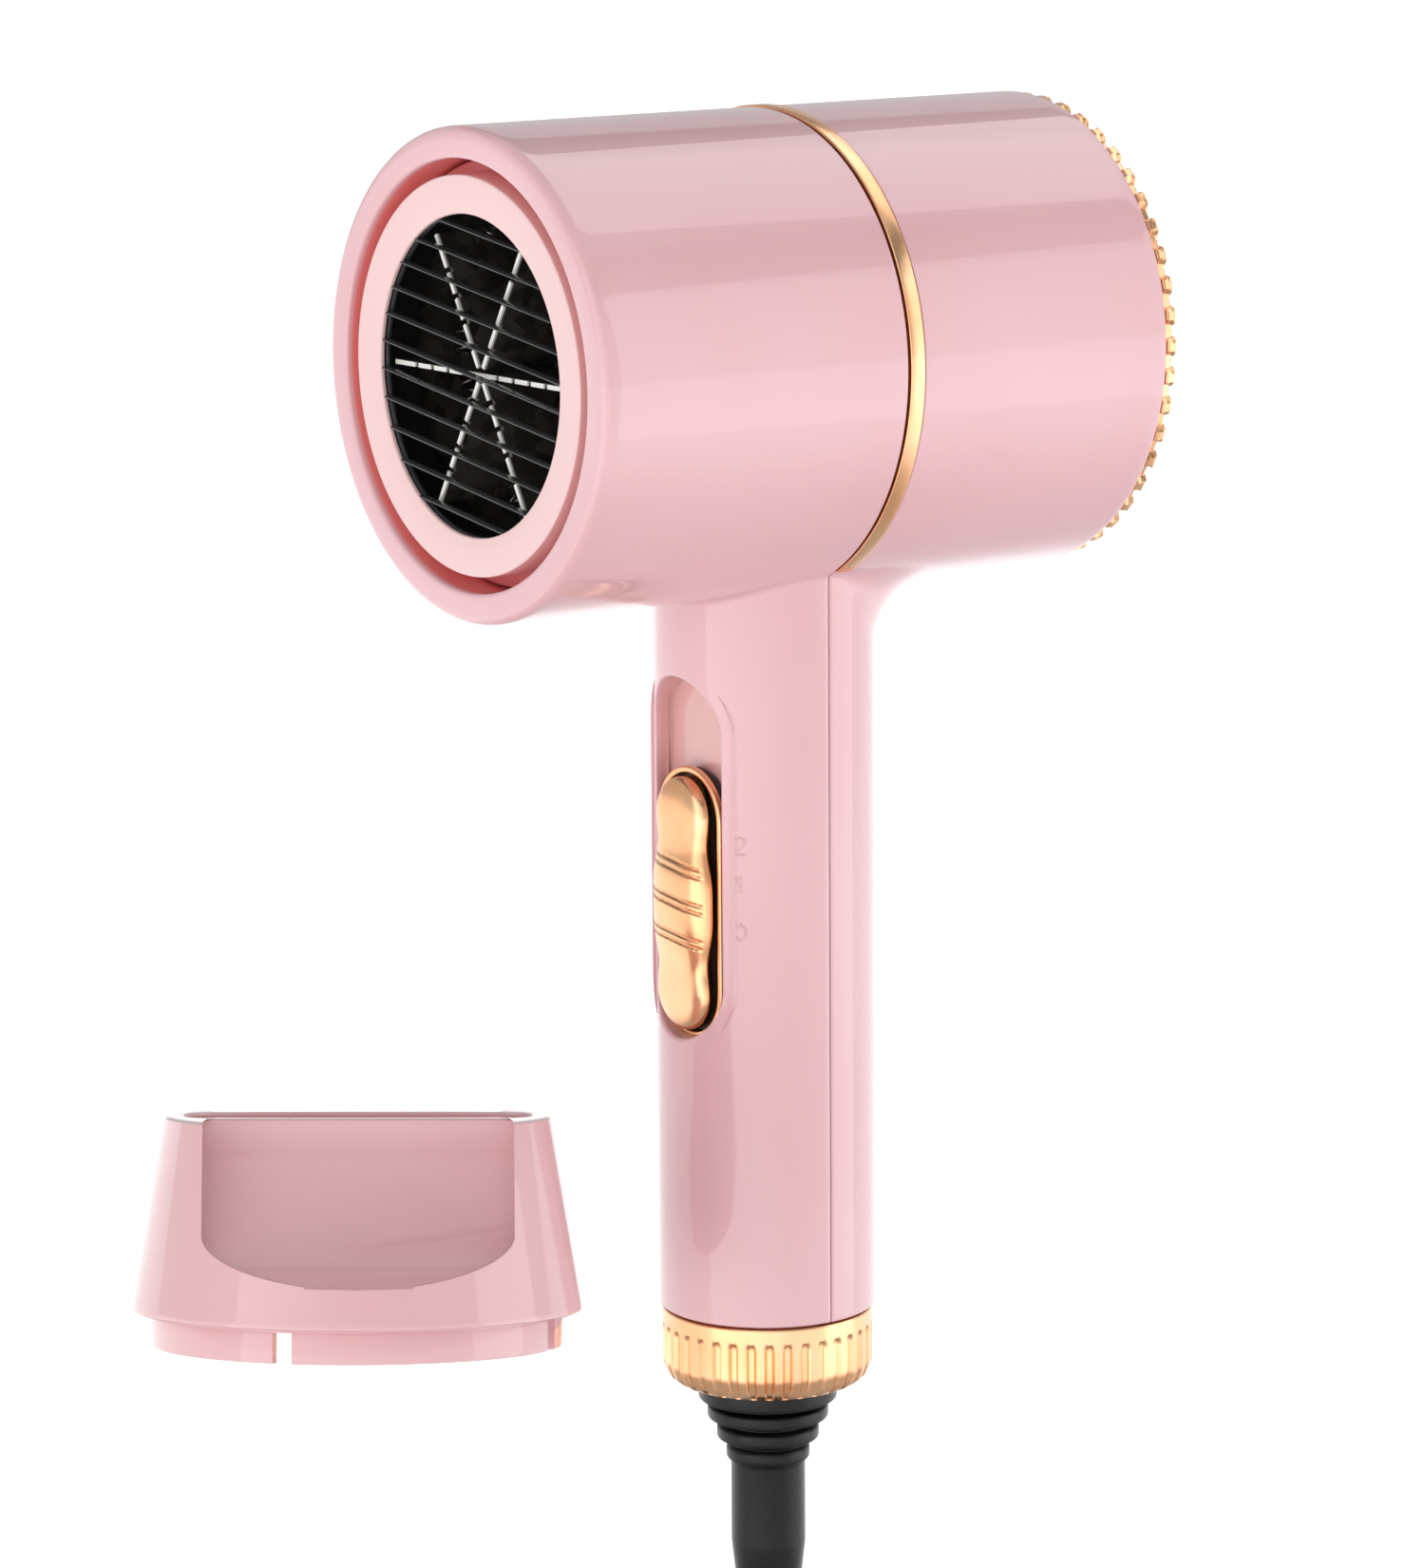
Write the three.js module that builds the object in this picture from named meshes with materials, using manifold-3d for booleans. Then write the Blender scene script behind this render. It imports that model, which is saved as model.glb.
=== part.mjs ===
// Travel hair dryer with a detached concentrator nozzle and its mains cord.
// Millimetres. +Z is up along the handle, -Y is the way the air blows, and the
// origin is the middle of the grip, on the handle's axis.
import * as THREE from 'three';
import { mergeVertices } from 'three/addons/utils/BufferGeometryUtils.js';
import Module from 'manifold-3d';

const wasm = await Module();
wasm.setup();

// ---- driving dimensions -------------------------------------------------

const GAP = 0.3; // clearance between neighbouring pieces

// Barrel
const BARREL_Z = 95; // height of the barrel's axis above the grip centre
const BARREL_R = 37.5;
const BARREL_FRONT = -55.5;
const BARREL_REAR = 50.4;
const WALL = 2.3;
const BORE_R = BARREL_R - WALL;
const LIP_R = 32.6; // inside of the front lip, outer wall of the nozzle groove
const LIP_DEPTH = 9;

// Handle
const HANDLE_R = 17.2;
const HANDLE_WALL = 2.2;
const HANDLE_BOTTOM = -57.1;
const FRONT_FILLET = 1; // blend radius between handle and barrel at the front
const REAR_FILLET = 12; // and at the rear

// Trim ring in the parting line
const TRIM_WIDTH = 2.6;
const TRIM_PROUD = 0.3;
const TRIM_GAP_ANGLE = 28.6; // half the angle left open above the handle, degrees

// Outlet
const COLLAR_R = 30.2;
const OPENING_R = 24.3;
const COLLAR_FACE = -54.9;
const COLLAR_DISH = 0.4; // how far its face falls back to the opening
const GRILLE_SEAT = -53.6; // y of the collar's step and of the bars
const BAR_PITCH = 4.3;
const BAR_COUNT = 11;
const BAR_TURN = -8; // degrees about the barrel's axis

// Heater
const MICA = 0.7;
const PLATE_R = 23.4;
const PLATE_FRONT = -52.3;
const PLATE_REAR = -10;
const CORE_GAP = 1.3; // half the slot that lets the plates cross
const TUBE_R = 29.5;
const COIL_R = 26.2;
const COIL_TURNS = 5;

// Fan and motor
const DUCT_R = 34.8;
const DUCT_BORE = 32.6;
const CUP_R = 14.8;
const MOTOR_R = 12.6;
const SHAFT_R = 1.2;
const BLADES = 7;
const BLADE_TIP = 31.6;

// Rear ring and inlet
const RING_R = 37.2;
const RING_REAR = 52.6;
const RING_FLUTES = 48;
const INLET_SLOTS = 24;

// Slide switch
const RECESS_HALF_WIDTH = 8.65;
const RECESS_TOP = 45.4;
const RECESS_BOTTOM = -11.9;
const RECESS_FLOOR = -11.8; // y of the recess floor
const KNOB_TRAVEL = 14;
const RECESS_MID = (RECESS_TOP + RECESS_BOTTOM) / 2;
const SLIDER_HALF_LENGTH = (RECESS_TOP - RECESS_BOTTOM - KNOB_TRAVEL) / 2 - 2 * GAP;
const SLIDER_MID = RECESS_BOTTOM + GAP + SLIDER_HALF_LENGTH;
const SWITCH_BODY_MID = 14.9;

// End cap and boot
const CAP_R = 16.8;
const CAP_TOP = -57.4;
const CAP_BOTTOM = -69.8;
const CAP_FLUTES = 36;
const BOOT_END = -110;
const CORD_R = 3.5;

// Nozzle, in its own upright frame with the flange's underside at height 0
const NOZZLE_R = 34.3;
const NOZZLE_TOP_R = 29.3;
const NOZZLE_HEIGHT = 29.5;
const NOZZLE_WALL = 1.8;
const SKIRT_R = 31.3;
const SKIRT_DEPTH = 5.2;
const SKIRT_SLITS = [-111, -22, 69, 158]; // degrees about the nozzle's axis
const SCOOP_R = 27;
const SCOOP_Y = 35.5;
const SCOOP_Z = 33;
const SCOOP_HALF_WIDTH = 23.2;
const SCOOP_BEND = 13; // height where its straight sides end
const SCOOP_LOW = 6; // and its lowest point
const NOZZLE_PLACE = [0, -77, -45.6];
const NOZZLE_TURN = 57.9; // degrees, the slot's long way about +Z
const NOZZLE_TILT = -10; // degrees, leaning back about the slot's long way
const NOZZLE_ROLL = 1.2; // degrees, leaning to the side

// Cord, hank and plug
const HANK_TOP = -182; // where the straight runs begin
const HANK_BOTTOM = -299.5; // and where they end
const HANK_INNER_R = 21; // fold radius of the inner turns
const CORD_PITCH = 7; // from one turn to the next
const WAIST = 0.17; // the share of the inner turns' spread that is left at the tie
const PIN_SPACING = 18.6;
const PIN_R = 2;
const PIN_LENGTH = 19;

// ---- helpers ------------------------------------------------------------

const degrees = THREE.MathUtils.degToRad;

function signedVolume(position, corners) {
  const [a, b, c] = [new THREE.Vector3(), new THREE.Vector3(), new THREE.Vector3()];
  let sum = 0;
  for (let i = 0; i < corners.length; i += 3) {
    a.fromBufferAttribute(position, corners[i]);
    b.fromBufferAttribute(position, corners[i + 1]);
    c.fromBufferAttribute(position, corners[i + 2]);
    sum += a.dot(b.cross(c));
  }
  return sum / 6;
}

// A closed geometry as a solid that can be joined and cut.
function solid(geometry) {
  geometry.deleteAttribute('normal');
  geometry.deleteAttribute('uv');
  const merged = mergeVertices(geometry, 1e-4);
  const corners = [];
  for (let i = 0; i < merged.index.count; i += 3) {
    const [a, b, c] = [0, 1, 2].map((k) => merged.index.getX(i + k));
    if (a !== b && b !== c && c !== a) corners.push(a, b, c);
  }
  if (signedVolume(merged.attributes.position, corners) < 0) corners.reverse();
  return new wasm.Manifold(new wasm.Mesh({
    numProp: 3,
    vertProperties: new Float32Array(merged.attributes.position.array),
    triVerts: new Uint32Array(corners),
  }));
}

function geometryOf(shape) {
  const { vertProperties, triVerts } = shape.getMesh();
  const geometry = new THREE.BufferGeometry();
  geometry.setAttribute('position', new THREE.BufferAttribute(vertProperties, 3));
  geometry.setIndex(new THREE.BufferAttribute(triVerts, 1));
  geometry.computeVertexNormals();
  return geometry;
}

const join = (...shapes) => shapes.reduce((whole, next) => whole.add(next));
const cut = (shape, ...tools) => tools.reduce((whole, tool) => whole.subtract(tool), shape);

// A body turned about the Y axis from [radius, y] corners, closed on itself.
function turned(outline, segments = 48) {
  const corners = [...outline, outline[0]];
  const points = corners.map(([r, y]) => new THREE.Vector2(r, y));
  return new THREE.LatheGeometry(points, segments);
}

// The same about the Z axis, from [radius, z] corners.
const turnedUp = (outline, segments) => turned(outline, segments).rotateX(Math.PI / 2);

const disc = (radius, low, high) => [[0, low], [radius, low], [radius, high], [0, high]];
const tube = (inner, outer, low, high) => [[inner, low], [outer, low], [outer, high], [inner, high]];

function box([x, y, z], [wide, deep, high]) {
  return new THREE.BoxGeometry(wide, deep, high).translate(x, y, z);
}

// An x-z outline carried along Y from the back to the front.
function plate(shape, back, front, curveSegments = 8) {
  const options = { depth: back - front, bevelEnabled: false, curveSegments };
  return new THREE.ExtrudeGeometry(shape, options).rotateX(Math.PI / 2).translate(0, back, 0);
}

// An outline with straight sides and round ends, its long way up.
function stadium(halfWidth, halfLength, midZ = 0) {
  const straight = halfLength - halfWidth;
  const shape = new THREE.Shape();
  shape.absarc(0, midZ + straight, halfWidth, 0, Math.PI);
  shape.absarc(0, midZ - straight, halfWidth, Math.PI, 2 * Math.PI);
  return shape;
}

// A round bar along a smooth path through the points.
function wire(points, radius, sides = 6, steps = 10) {
  const path = new THREE.CatmullRomCurve3(points.map((p) => new THREE.Vector3(...p)));
  const section = new THREE.Shape();
  for (let i = 0; i < sides; i++) {
    const angle = (2 * Math.PI * i) / sides;
    const corner = [radius * Math.cos(angle), radius * Math.sin(angle)];
    if (i === 0) section.moveTo(...corner);
    else section.lineTo(...corner);
  }
  return new THREE.ExtrudeGeometry(section, { steps, extrudePath: path, bevelEnabled: false });
}

// A closed skin over a stack of rings with equal numbers of points.
function lofted(rings) {
  const count = rings[0].length;
  const positions = rings.flat(2);
  const middle = (ring, axis) => ring.reduce((sum, p) => sum + p[axis], 0) / count;
  for (const ring of [rings[0], rings.at(-1)]) positions.push(...[0, 1, 2].map((k) => middle(ring, k)));
  const last = rings.length * count;
  const index = [];
  for (let k = 0; k < count; k++) {
    const next = (k + 1) % count;
    index.push(next, k, last);
    for (let ring = 0; ring < rings.length - 1; ring++) {
      const [a, b] = [ring * count + k, ring * count + next];
      index.push(a, b, b + count, a, b + count, a + count);
    }
    const top = last - count;
    index.push(top + k, top + next, last + 1);
  }
  const geometry = new THREE.BufferGeometry();
  geometry.setAttribute('position', new THREE.Float32BufferAttribute(positions, 3));
  geometry.setIndex(index);
  return geometry;
}

// Copies of a tool set round an axis, joined into one tool.
function aroundAxis(count, makeTool) {
  return join(...Array.from({ length: count }, (_, i) => makeTool((2 * Math.PI * i) / count)));
}

// ---- finishes -----------------------------------------------------------

const finish = (color, roughness, metalness = 0) =>
  new THREE.MeshStandardMaterial({ color, roughness, metalness });

const pink = finish('#e6bfc4', 0.22);
const palePink = finish('#f2cdcb', 0.35);
const gold = finish('#eeb882', 0.2, 1);
const blackPlastic = finish('#18181a', 0.45);
const blackRubber = finish('#202022', 0.6);
const micaSheet = finish('#cdbfa2', 0.4);
const nichrome = finish('#8a8580', 0.35, 1);
const steel = finish('#b9bcc0', 0.3, 1);
const nylon = finish('#2a2a2c', 0.5);
const board = finish('#35603f', 0.5);
const copperLead = finish('#3a5d9c', 0.5);
const whiteLead = finish('#e4e2dc', 0.5);

const dryer = new THREE.Group();
const barrel = new THREE.Group();
barrel.position.z = BARREL_Z;
dryer.add(barrel);

function add(parent, name, shape, material) {
  const geometry = shape.isBufferGeometry ? geometryOf(solid(shape)) : geometryOf(shape);
  const mesh = new THREE.Mesh(geometry, material);
  mesh.name = name;
  parent.add(mesh);
  return mesh;
}

// ---- housings -----------------------------------------------------------

// The blend radius grows from the front half of the handle to its rear.
function filletRadius(angle) {
  const rearward = THREE.MathUtils.smoothstep(Math.sin(angle), 0, 0.8);
  return FRONT_FILLET + (REAR_FILLET - FRONT_FILLET) * rearward;
}

// The handle's outside: a round bar that spreads into the barrel along the path
// of a ball that rolls round the corner between the two cylinders.
function handleOutside() {
  const count = 28;
  const arcSteps = 4;
  const angles = Array.from({ length: count }, (_, k) => (2 * Math.PI * k) / count);
  const rings = [angles.map((a) => [HANDLE_R * Math.cos(a), HANDLE_R * Math.sin(a), HANDLE_BOTTOM])];
  for (let step = 0; step <= arcSteps + 1; step++) {
    rings.push(angles.map((a) => {
      const ball = filletRadius(a);
      const reach = HANDLE_R + ball;
      const x = reach * Math.cos(a);
      const drop = Math.sqrt((BARREL_R + ball) ** 2 - x ** 2);
      const centre = new THREE.Vector3(x, reach * Math.sin(a), BARREL_Z - drop);
      const toHandle = new THREE.Vector3(-Math.cos(a), -Math.sin(a), 0);
      const toBarrel = new THREE.Vector3(-x, 0, drop).normalize();
      if (step > arcSteps) return centre.addScaledVector(toBarrel, ball + 2 * WALL).toArray();
      const between = toHandle.lerp(toBarrel, step / arcSteps).normalize();
      return centre.addScaledVector(between, ball).toArray();
    }));
  }
  return solid(lofted(rings));
}

const wedge = () => {
  const reach = 2 * BARREL_R;
  const half = reach * Math.tan(degrees(TRIM_GAP_ANGLE));
  const shape = new THREE.Shape([[0, 0], [-half, -reach], [half, -reach]].map((p) => new THREE.Vector2(...p)));
  return solid(plate(shape, 20, -20));
};

const trimRebate = cut(
  solid(turned(tube(BARREL_R - 1.4, BARREL_R + 2, -5, TRIM_WIDTH + 2 * GAP))),
  wedge(),
).translate([0, 0, BARREL_Z]);

// Where the two handle screws run, and the posts that take them.
const SCREW_HEIGHTS = { upper: 40.5, lower: -36 };
const SCREW_BORE_END = -9.6;
const screwAxis = (z, radius, back, front) =>
  solid(turned(disc(radius, front, back), 20).translate(0, 0, z));

function housingShell() {
  const r = BARREL_R;
  const outside = solid(turned([
    [0, BARREL_FRONT], [r - 1.5, BARREL_FRONT], [r - 0.4, BARREL_FRONT + 0.5], [r, BARREL_FRONT + 1.6],
    [r, BARREL_REAR - 0.5], [r - 0.5, BARREL_REAR], [0, BARREL_REAR],
  ], 56).translate(0, 0, BARREL_Z));
  const inside = solid(turned([
    [0, BARREL_FRONT - 1], [LIP_R, BARREL_FRONT - 1], [LIP_R, BARREL_FRONT + LIP_DEPTH],
    [BORE_R, BARREL_FRONT + LIP_DEPTH], [BORE_R, BARREL_REAR + 1], [0, BARREL_REAR + 1],
  ], 48).translate(0, 0, BARREL_Z));
  const grip = handleOutside();
  const gripBore = solid(turnedUp(disc(HANDLE_R - HANDLE_WALL, HANDLE_BOTTOM - 1, BARREL_Z - 20), 32));
  const shell = cut(join(outside, grip), inside, gripBore);
  const halfLength = (RECESS_TOP - RECESS_BOTTOM) / 2;
  const floorBlock = solid(plate(stadium(RECESS_HALF_WIDTH + 1.6, halfLength + 1.6, RECESS_MID), -10.2, -20));
  const recess = solid(plate(stadium(RECESS_HALF_WIDTH, halfLength, RECESS_MID), RECESS_FLOOR, -30));
  const leverSlot = solid(box([0, -11, SLIDER_MID + KNOB_TRAVEL / 2], [3.6, 6, KNOB_TRAVEL + 6]));
  const posts = Object.values(SCREW_HEIGHTS).map((z) => screwAxis(z, 4, 17, -16.2).intersect(grip));
  const bores = Object.values(SCREW_HEIGHTS).flatMap((z) => [
    screwAxis(z, 1.8, 30, SCREW_BORE_END),
    screwAxis(z, 3, 30, 11),
  ]);
  return cut(join(shell, floorBlock.intersect(grip), ...posts), recess, leverSlot, ...bores);
}

const shell = housingShell();
const halfSpace = (side) => solid(box([0, side * (GAP / 2 + 100), 0], [200, 200, 400]));
add(dryer, 'front_housing', shell.intersect(halfSpace(-1)), pink);
add(dryer, 'rear_housing', cut(shell.intersect(halfSpace(1)), trimRebate), pink);

const band = tube(BARREL_R - 1.1, BARREL_R + TRIM_PROUD, GAP, GAP + TRIM_WIDTH);
add(barrel, 'trim_ring', cut(solid(turned(band, 56)), wedge().scale([1.06, 1, 1])), gold);

// ---- outlet -------------------------------------------------------------

const grooveFloor = -48.6;
const flangeFront = BARREL_FRONT + LIP_DEPTH + GAP;
add(barrel, 'outlet_collar', turned([
  [OPENING_R, COLLAR_FACE + COLLAR_DISH], [COLLAR_R, COLLAR_FACE], [COLLAR_R, grooveFloor],
  [LIP_R - GAP, grooveFloor], [LIP_R - GAP, flangeFront], [BORE_R - 0.4, flangeFront],
  [BORE_R - 0.4, flangeFront + 2], [TUBE_R + 0.4, flangeFront + 2], [TUBE_R + 0.4, flangeFront],
  [26.4, flangeFront], [26.4, GRILLE_SEAT], [OPENING_R, GRILLE_SEAT],
], 44), palePink);

// A flat ring seated in the collar's step, with thin bars across it.
function outletGrille() {
  const rimFront = GRILLE_SEAT + GAP;
  const barRear = GRILLE_SEAT + 0.6;
  const rim = solid(turned(tube(OPENING_R, 26.1, rimFront, rimFront + 0.7), 32));
  const round = solid(turned(disc(25.4, GRILLE_SEAT - 1.6, barRear), 32));
  const bars = Array.from({ length: BAR_COUNT }, (_, i) => {
    const z = (i - (BAR_COUNT - 1) / 2) * BAR_PITCH;
    return solid(box([0, GRILLE_SEAT, z], [60, 1.2, 0.6]));
  });
  const trimmed = join(...bars).intersect(round);
  const inBore = trimmed.intersect(solid(turned(disc(OPENING_R - GAP, GRILLE_SEAT - 0.7, rimFront + 0.05), 32)));
  const onRim = trimmed.intersect(solid(turned(disc(25.4, rimFront, barRear), 32)));
  return join(rim, inBore, onRim).rotate([0, -BAR_TURN, 0]);
}
add(barrel, 'outlet_grille', outletGrille(), blackPlastic);

// ---- heater -------------------------------------------------------------

add(barrel, 'mica_tube', turned(tube(TUBE_R - MICA, TUBE_R, flangeFront + GAP, -6), 32), micaSheet);

// Each plate is whole on the axis for one third of its length, and slotted
// for the other two thirds so that the three can cross.
function micaPlate(third, turn) {
  const length = PLATE_REAR - PLATE_FRONT;
  const blade = solid(box([0, (PLATE_REAR + PLATE_FRONT) / 2, 0], [2 * PLATE_R, length, MICA]));
  const slots = [0, 1, 2].filter((k) => k !== third).map((k) => {
    const from = PLATE_FRONT + (k * length) / 3 - 0.5;
    return solid(box([0, from + (length / 3 + 1) / 2, 0], [2 * CORE_GAP, length / 3 + 1, 4]));
  });
  return cut(blade, ...slots).rotate([0, turn, 0]);
}
add(barrel, 'mica_plate_a', micaPlate(0, 0), micaSheet);
add(barrel, 'mica_plate_b', micaPlate(1, 60), micaSheet);
add(barrel, 'mica_plate_c', micaPlate(2, -60), micaSheet);

function coilPoints() {
  const perTurn = 12;
  return Array.from({ length: COIL_TURNS * perTurn + 1 }, (_, i) => {
    const angle = (2 * Math.PI * i) / perTurn;
    const y = -42 + (30 * i) / (COIL_TURNS * perTurn);
    return [COIL_R * Math.cos(angle), y, COIL_R * Math.sin(angle)];
  });
}
add(barrel, 'heating_coil', wire(coilPoints(), 0.9, 5, COIL_TURNS * 14), nichrome);
add(barrel, 'thermostat', box([13, -20, 2.4], [9, 12, 3.4]), steel);
add(barrel, 'thermal_fuse', turned(disc(1.6, -26, -14), 10).translate(-13, 0, -2.4), whiteLead);

// ---- fan and motor ------------------------------------------------------

function fanDuct() {
  const ring = solid(turned(tube(DUCT_BORE, DUCT_R, 4, 44), 36));
  const cup = cut(
    solid(turned(tube(0, CUP_R, 5, 29), 32)),
    solid(turned(disc(MOTOR_R + GAP, 7, 30), 32)),
    solid(turned(disc(9, 0, 10), 24)),
  );
  const vanes = aroundAxis(BLADES, (angle) =>
    solid(box([(CUP_R + DUCT_BORE) / 2, 17, 0], [DUCT_BORE - CUP_R + 2, 16, 1.2]).rotateY(angle)));
  return join(ring, cup, vanes);
}
add(barrel, 'fan_duct', fanDuct(), nylon);
add(barrel, 'motor_can', turned(tube(SHAFT_R + GAP, MOTOR_R, 7 + GAP, 28), 24), steel);
add(barrel, 'motor_endcap', turned(disc(8.6, 1.2, 7), 24), whiteLead);

function impeller() {
  const hub = cut(
    solid(turned([[0, 31], [9, 31], [9, 40], [7.6, 42.2], [4, 43.6], [0, 44]], 32)),
    solid(turned(disc(SHAFT_R + GAP, 30, 40.5), 16)),
  );
  const reach = BLADE_TIP - 8;
  const blades = aroundAxis(BLADES, (angle) => {
    const blade = new THREE.BoxGeometry(reach, 12, 1.3).rotateX(degrees(38));
    return solid(blade.translate(8 + reach / 2, 37, 0).rotateY(angle));
  });
  const tips = solid(turned(disc(BLADE_TIP, 30, 46), 48));
  return join(hub, cut(blades, solid(turned(disc(5, 20, 50), 16))).intersect(tips));
}
add(barrel, 'fan_impeller', impeller(), nylon);
add(barrel, 'motor_shaft', turned(disc(SHAFT_R, 7 + GAP, 40), 12), steel);

add(barrel, 'rectifier_board', turned(disc(15, -3.6, -2), 24), board);
add(barrel, 'bridge_rectifier', box([0, -6.2, 0], [10, 4.6, 10]), blackPlastic);

// ---- rear ring and inlet ------------------------------------------------

function rearRing() {
  const front = BARREL_REAR + GAP;
  const body = solid(turned([
    [33, 44.5], [34.8, 44.5], [34.8, front], [RING_R, front], [RING_R, RING_REAR], [33, RING_REAR],
  ], RING_FLUTES));
  const flutes = aroundAxis(RING_FLUTES, (angle) =>
    solid(box([RING_R, front + 0.3, 0], [1.2, 2.2, 3.1]).rotateY(angle + Math.PI / RING_FLUTES)));
  return cut(body, flutes);
}
add(barrel, 'rear_ring', rearRing(), gold);

function inletGrille() {
  const face = solid(turned([
    [0, 49.6], [32.7, 49.6], [32.7, 51.2], [13, 51.8], [11, 52.4], [0, 52.4],
  ], 36));
  const slots = aroundAxis(INLET_SLOTS, (angle) => solid(box([21.5, 51, 0], [16, 6, 1.9]).rotateY(angle)));
  return cut(face, slots);
}
add(barrel, 'rear_grille', inletGrille(), pink);
add(barrel, 'dust_mesh', turned(disc(32.6, 48.4, 49.2), 32), steel);

// ---- slide switch -------------------------------------------------------

const slider = new THREE.Group();
slider.position.z = SLIDER_MID;
dryer.add(slider);

function carrier() {
  const base = solid(plate(stadium(8, SLIDER_HALF_LENGTH - 0.4), RECESS_FLOOR - GAP, -13.3));
  return join(base, solid(box([0, -10, 0], [2.6, 6.2, 4])));
}
add(slider, 'slide_carrier', carrier(), blackPlastic);

const bezelTop = -14.7;
const bezel = cut(
  solid(plate(stadium(8.35, SLIDER_HALF_LENGTH), -13.6, bezelTop)),
  solid(plate(stadium(7.35, SLIDER_HALF_LENGTH - 1), -13, -16)),
);
add(slider, 'knob_bezel', bezel, gold);

// The thumb piece: a stadium with a swelling in the middle third.
function thumbPiece() {
  const body = solid(plate(stadium(6.4, SLIDER_HALF_LENGTH - 1.5), -13.6, -16.6));
  const swelling = new THREE.SphereGeometry(1, 20, 12).scale(7.7, 5, 10.5).translate(0, -13.2, 0);
  const above = solid(box([0, -20 + bezelTop - GAP, 0], [40, 40, 60]));
  return join(body, solid(swelling).intersect(above));
}
add(slider, 'switch_knob', thumbPiece(), gold);

const switchBody = cut(
  solid(box([0, -5.4, SWITCH_BODY_MID], [11, 9, 42])),
  solid(box([0, -9, SLIDER_MID + KNOB_TRAVEL / 2], [3.4, 6, KNOB_TRAVEL + 6])),
);
add(dryer, 'switch_body', switchBody, blackPlastic);

// ---- end cap, boot and cord clamp ---------------------------------------

function endCap() {
  const body = solid(turnedUp([
    [6.7, CAP_BOTTOM], [14.6, CAP_BOTTOM], [CAP_R, CAP_BOTTOM + 4], [CAP_R, CAP_TOP], [14.6, CAP_TOP], [14.6, CAP_TOP + 6],
    [12.8, CAP_TOP + 6], [12.8, CAP_BOTTOM + 3], [6.7, CAP_BOTTOM + 3],
  ], CAP_FLUTES));
  const flutes = aroundAxis(CAP_FLUTES, (angle) =>
    solid(box([CAP_R, 0, CAP_BOTTOM + 4.8], [1.2, 1.5, 9.8]).rotateZ(angle + Math.PI / CAP_FLUTES)));
  return cut(body, flutes);
}
add(dryer, 'end_cap', endCap(), gold);

// Four steps that get smaller, a plain neck, and a taper to the cord.
const core = 5.95;
const bootOutline = [
  [0, -63.7], [9.5, -63.7], [9.5, CAP_BOTTOM + 3 + GAP], [6.4, CAP_BOTTOM + 3 + GAP], [6.4, CAP_BOTTOM - GAP],
  [11.1, CAP_BOTTOM - GAP], [11.1, -73], [8.2, -73.8], [9.7, -74.2], [9.7, -76.2], [7, -77.1],
  [8.2, -77.6], [8.2, -79.6], [core, -80.5], [6.7, -81.1], [6.7, -82.9], [core, -83.5], [core, -97],
  [4.5, BOOT_END], [0, BOOT_END],
];
add(dryer, 'boot', turnedUp(bootOutline, 20), blackRubber);

add(dryer, 'cord_stub', turnedUp(disc(CORD_R, -63.4, -51), 16), blackRubber);
const saddle = cut(
  solid(box([0, 3.2, -58], [17, 5.4, 6])),
  solid(turnedUp(disc(CORD_R + GAP, -70, -40), 20)),
  ...[-6.4, 6.4].map((x) => solid(turned(disc(1.5, -10, 20), 12).translate(x, 0, -58))),
);
add(dryer, 'cord_clamp', saddle, whiteLead);

// A pan-head screw pointing along -Y, its head's seat at y = 0.
function screw(length, radius) {
  const head = 1.9 * radius;
  return turned([
    [0, -length], [radius * 0.6, -length], [radius, -length + radius], [radius, 0],
    [head, 0], [head, radius * 0.7], [head * 0.7, radius * 1.2], [0, radius * 1.2],
  ], 12);
}
add(dryer, 'clamp_screw_1', screw(7, 1.15).translate(-6.4, 6.2, -58), steel);
add(dryer, 'clamp_screw_2', screw(7, 1.15).translate(6.4, 6.2, -58), steel);
for (const [place, z] of Object.entries(SCREW_HEIGHTS)) {
  add(dryer, `handle_screw_${place}`, screw(20, 1.4).translate(0, 11 + GAP, z), steel);
}

// ---- wires --------------------------------------------------------------

const livePath = [[2, 0, -50], [7.5, 2, -38], [7.5, 2, -20], [3.5, -3, -9]];
const neutralPath = [[-2, 0, -50], [-8, 3, -36], [-8, 3, 0], [-8, 3, 40], [-7, 1, 60], [-4, 0, 74], [-4, -0.4, 79]];
const heaterPath = [[4.4, -3, 37], [6.6, -3, 41], [7, -3, 52], [5, -3.2, 62], [4, -4, 70], [3, -8.5, 74]];
add(dryer, 'live_wire', wire(livePath, 0.9, 6, 8), copperLead);
add(dryer, 'neutral_wire', wire(neutralPath, 0.9, 6, 12), whiteLead);
add(dryer, 'heater_wire', wire(heaterPath, 0.9, 6, 8), copperLead);

// ---- concentrator nozzle ------------------------------------------------

const coneRadius = (z) => THREE.MathUtils.lerp(NOZZLE_R, NOZZLE_TOP_R, z / NOZZLE_HEIGHT);
const scoopFace = (z) => SCOOP_Y - Math.sqrt(Math.max(SCOOP_R ** 2 - (SCOOP_Z - z) ** 2, 0));

const skirtBore = SKIRT_R - 1.6;

// The hollow's half width is the cone's, less its wall, and never more than the skirt's bore.
const hollowWidth = (z) => Math.min(coneRadius(z) - NOZZLE_WALL, skirtBore);

// Its half depth is the same until the scoops' wall is nearer.
function hollowDepth(z) {
  return z > SCOOP_Z - SCOOP_R ? Math.min(hollowWidth(z), scoopFace(z) - NOZZLE_WALL) : hollowWidth(z);
}

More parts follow.
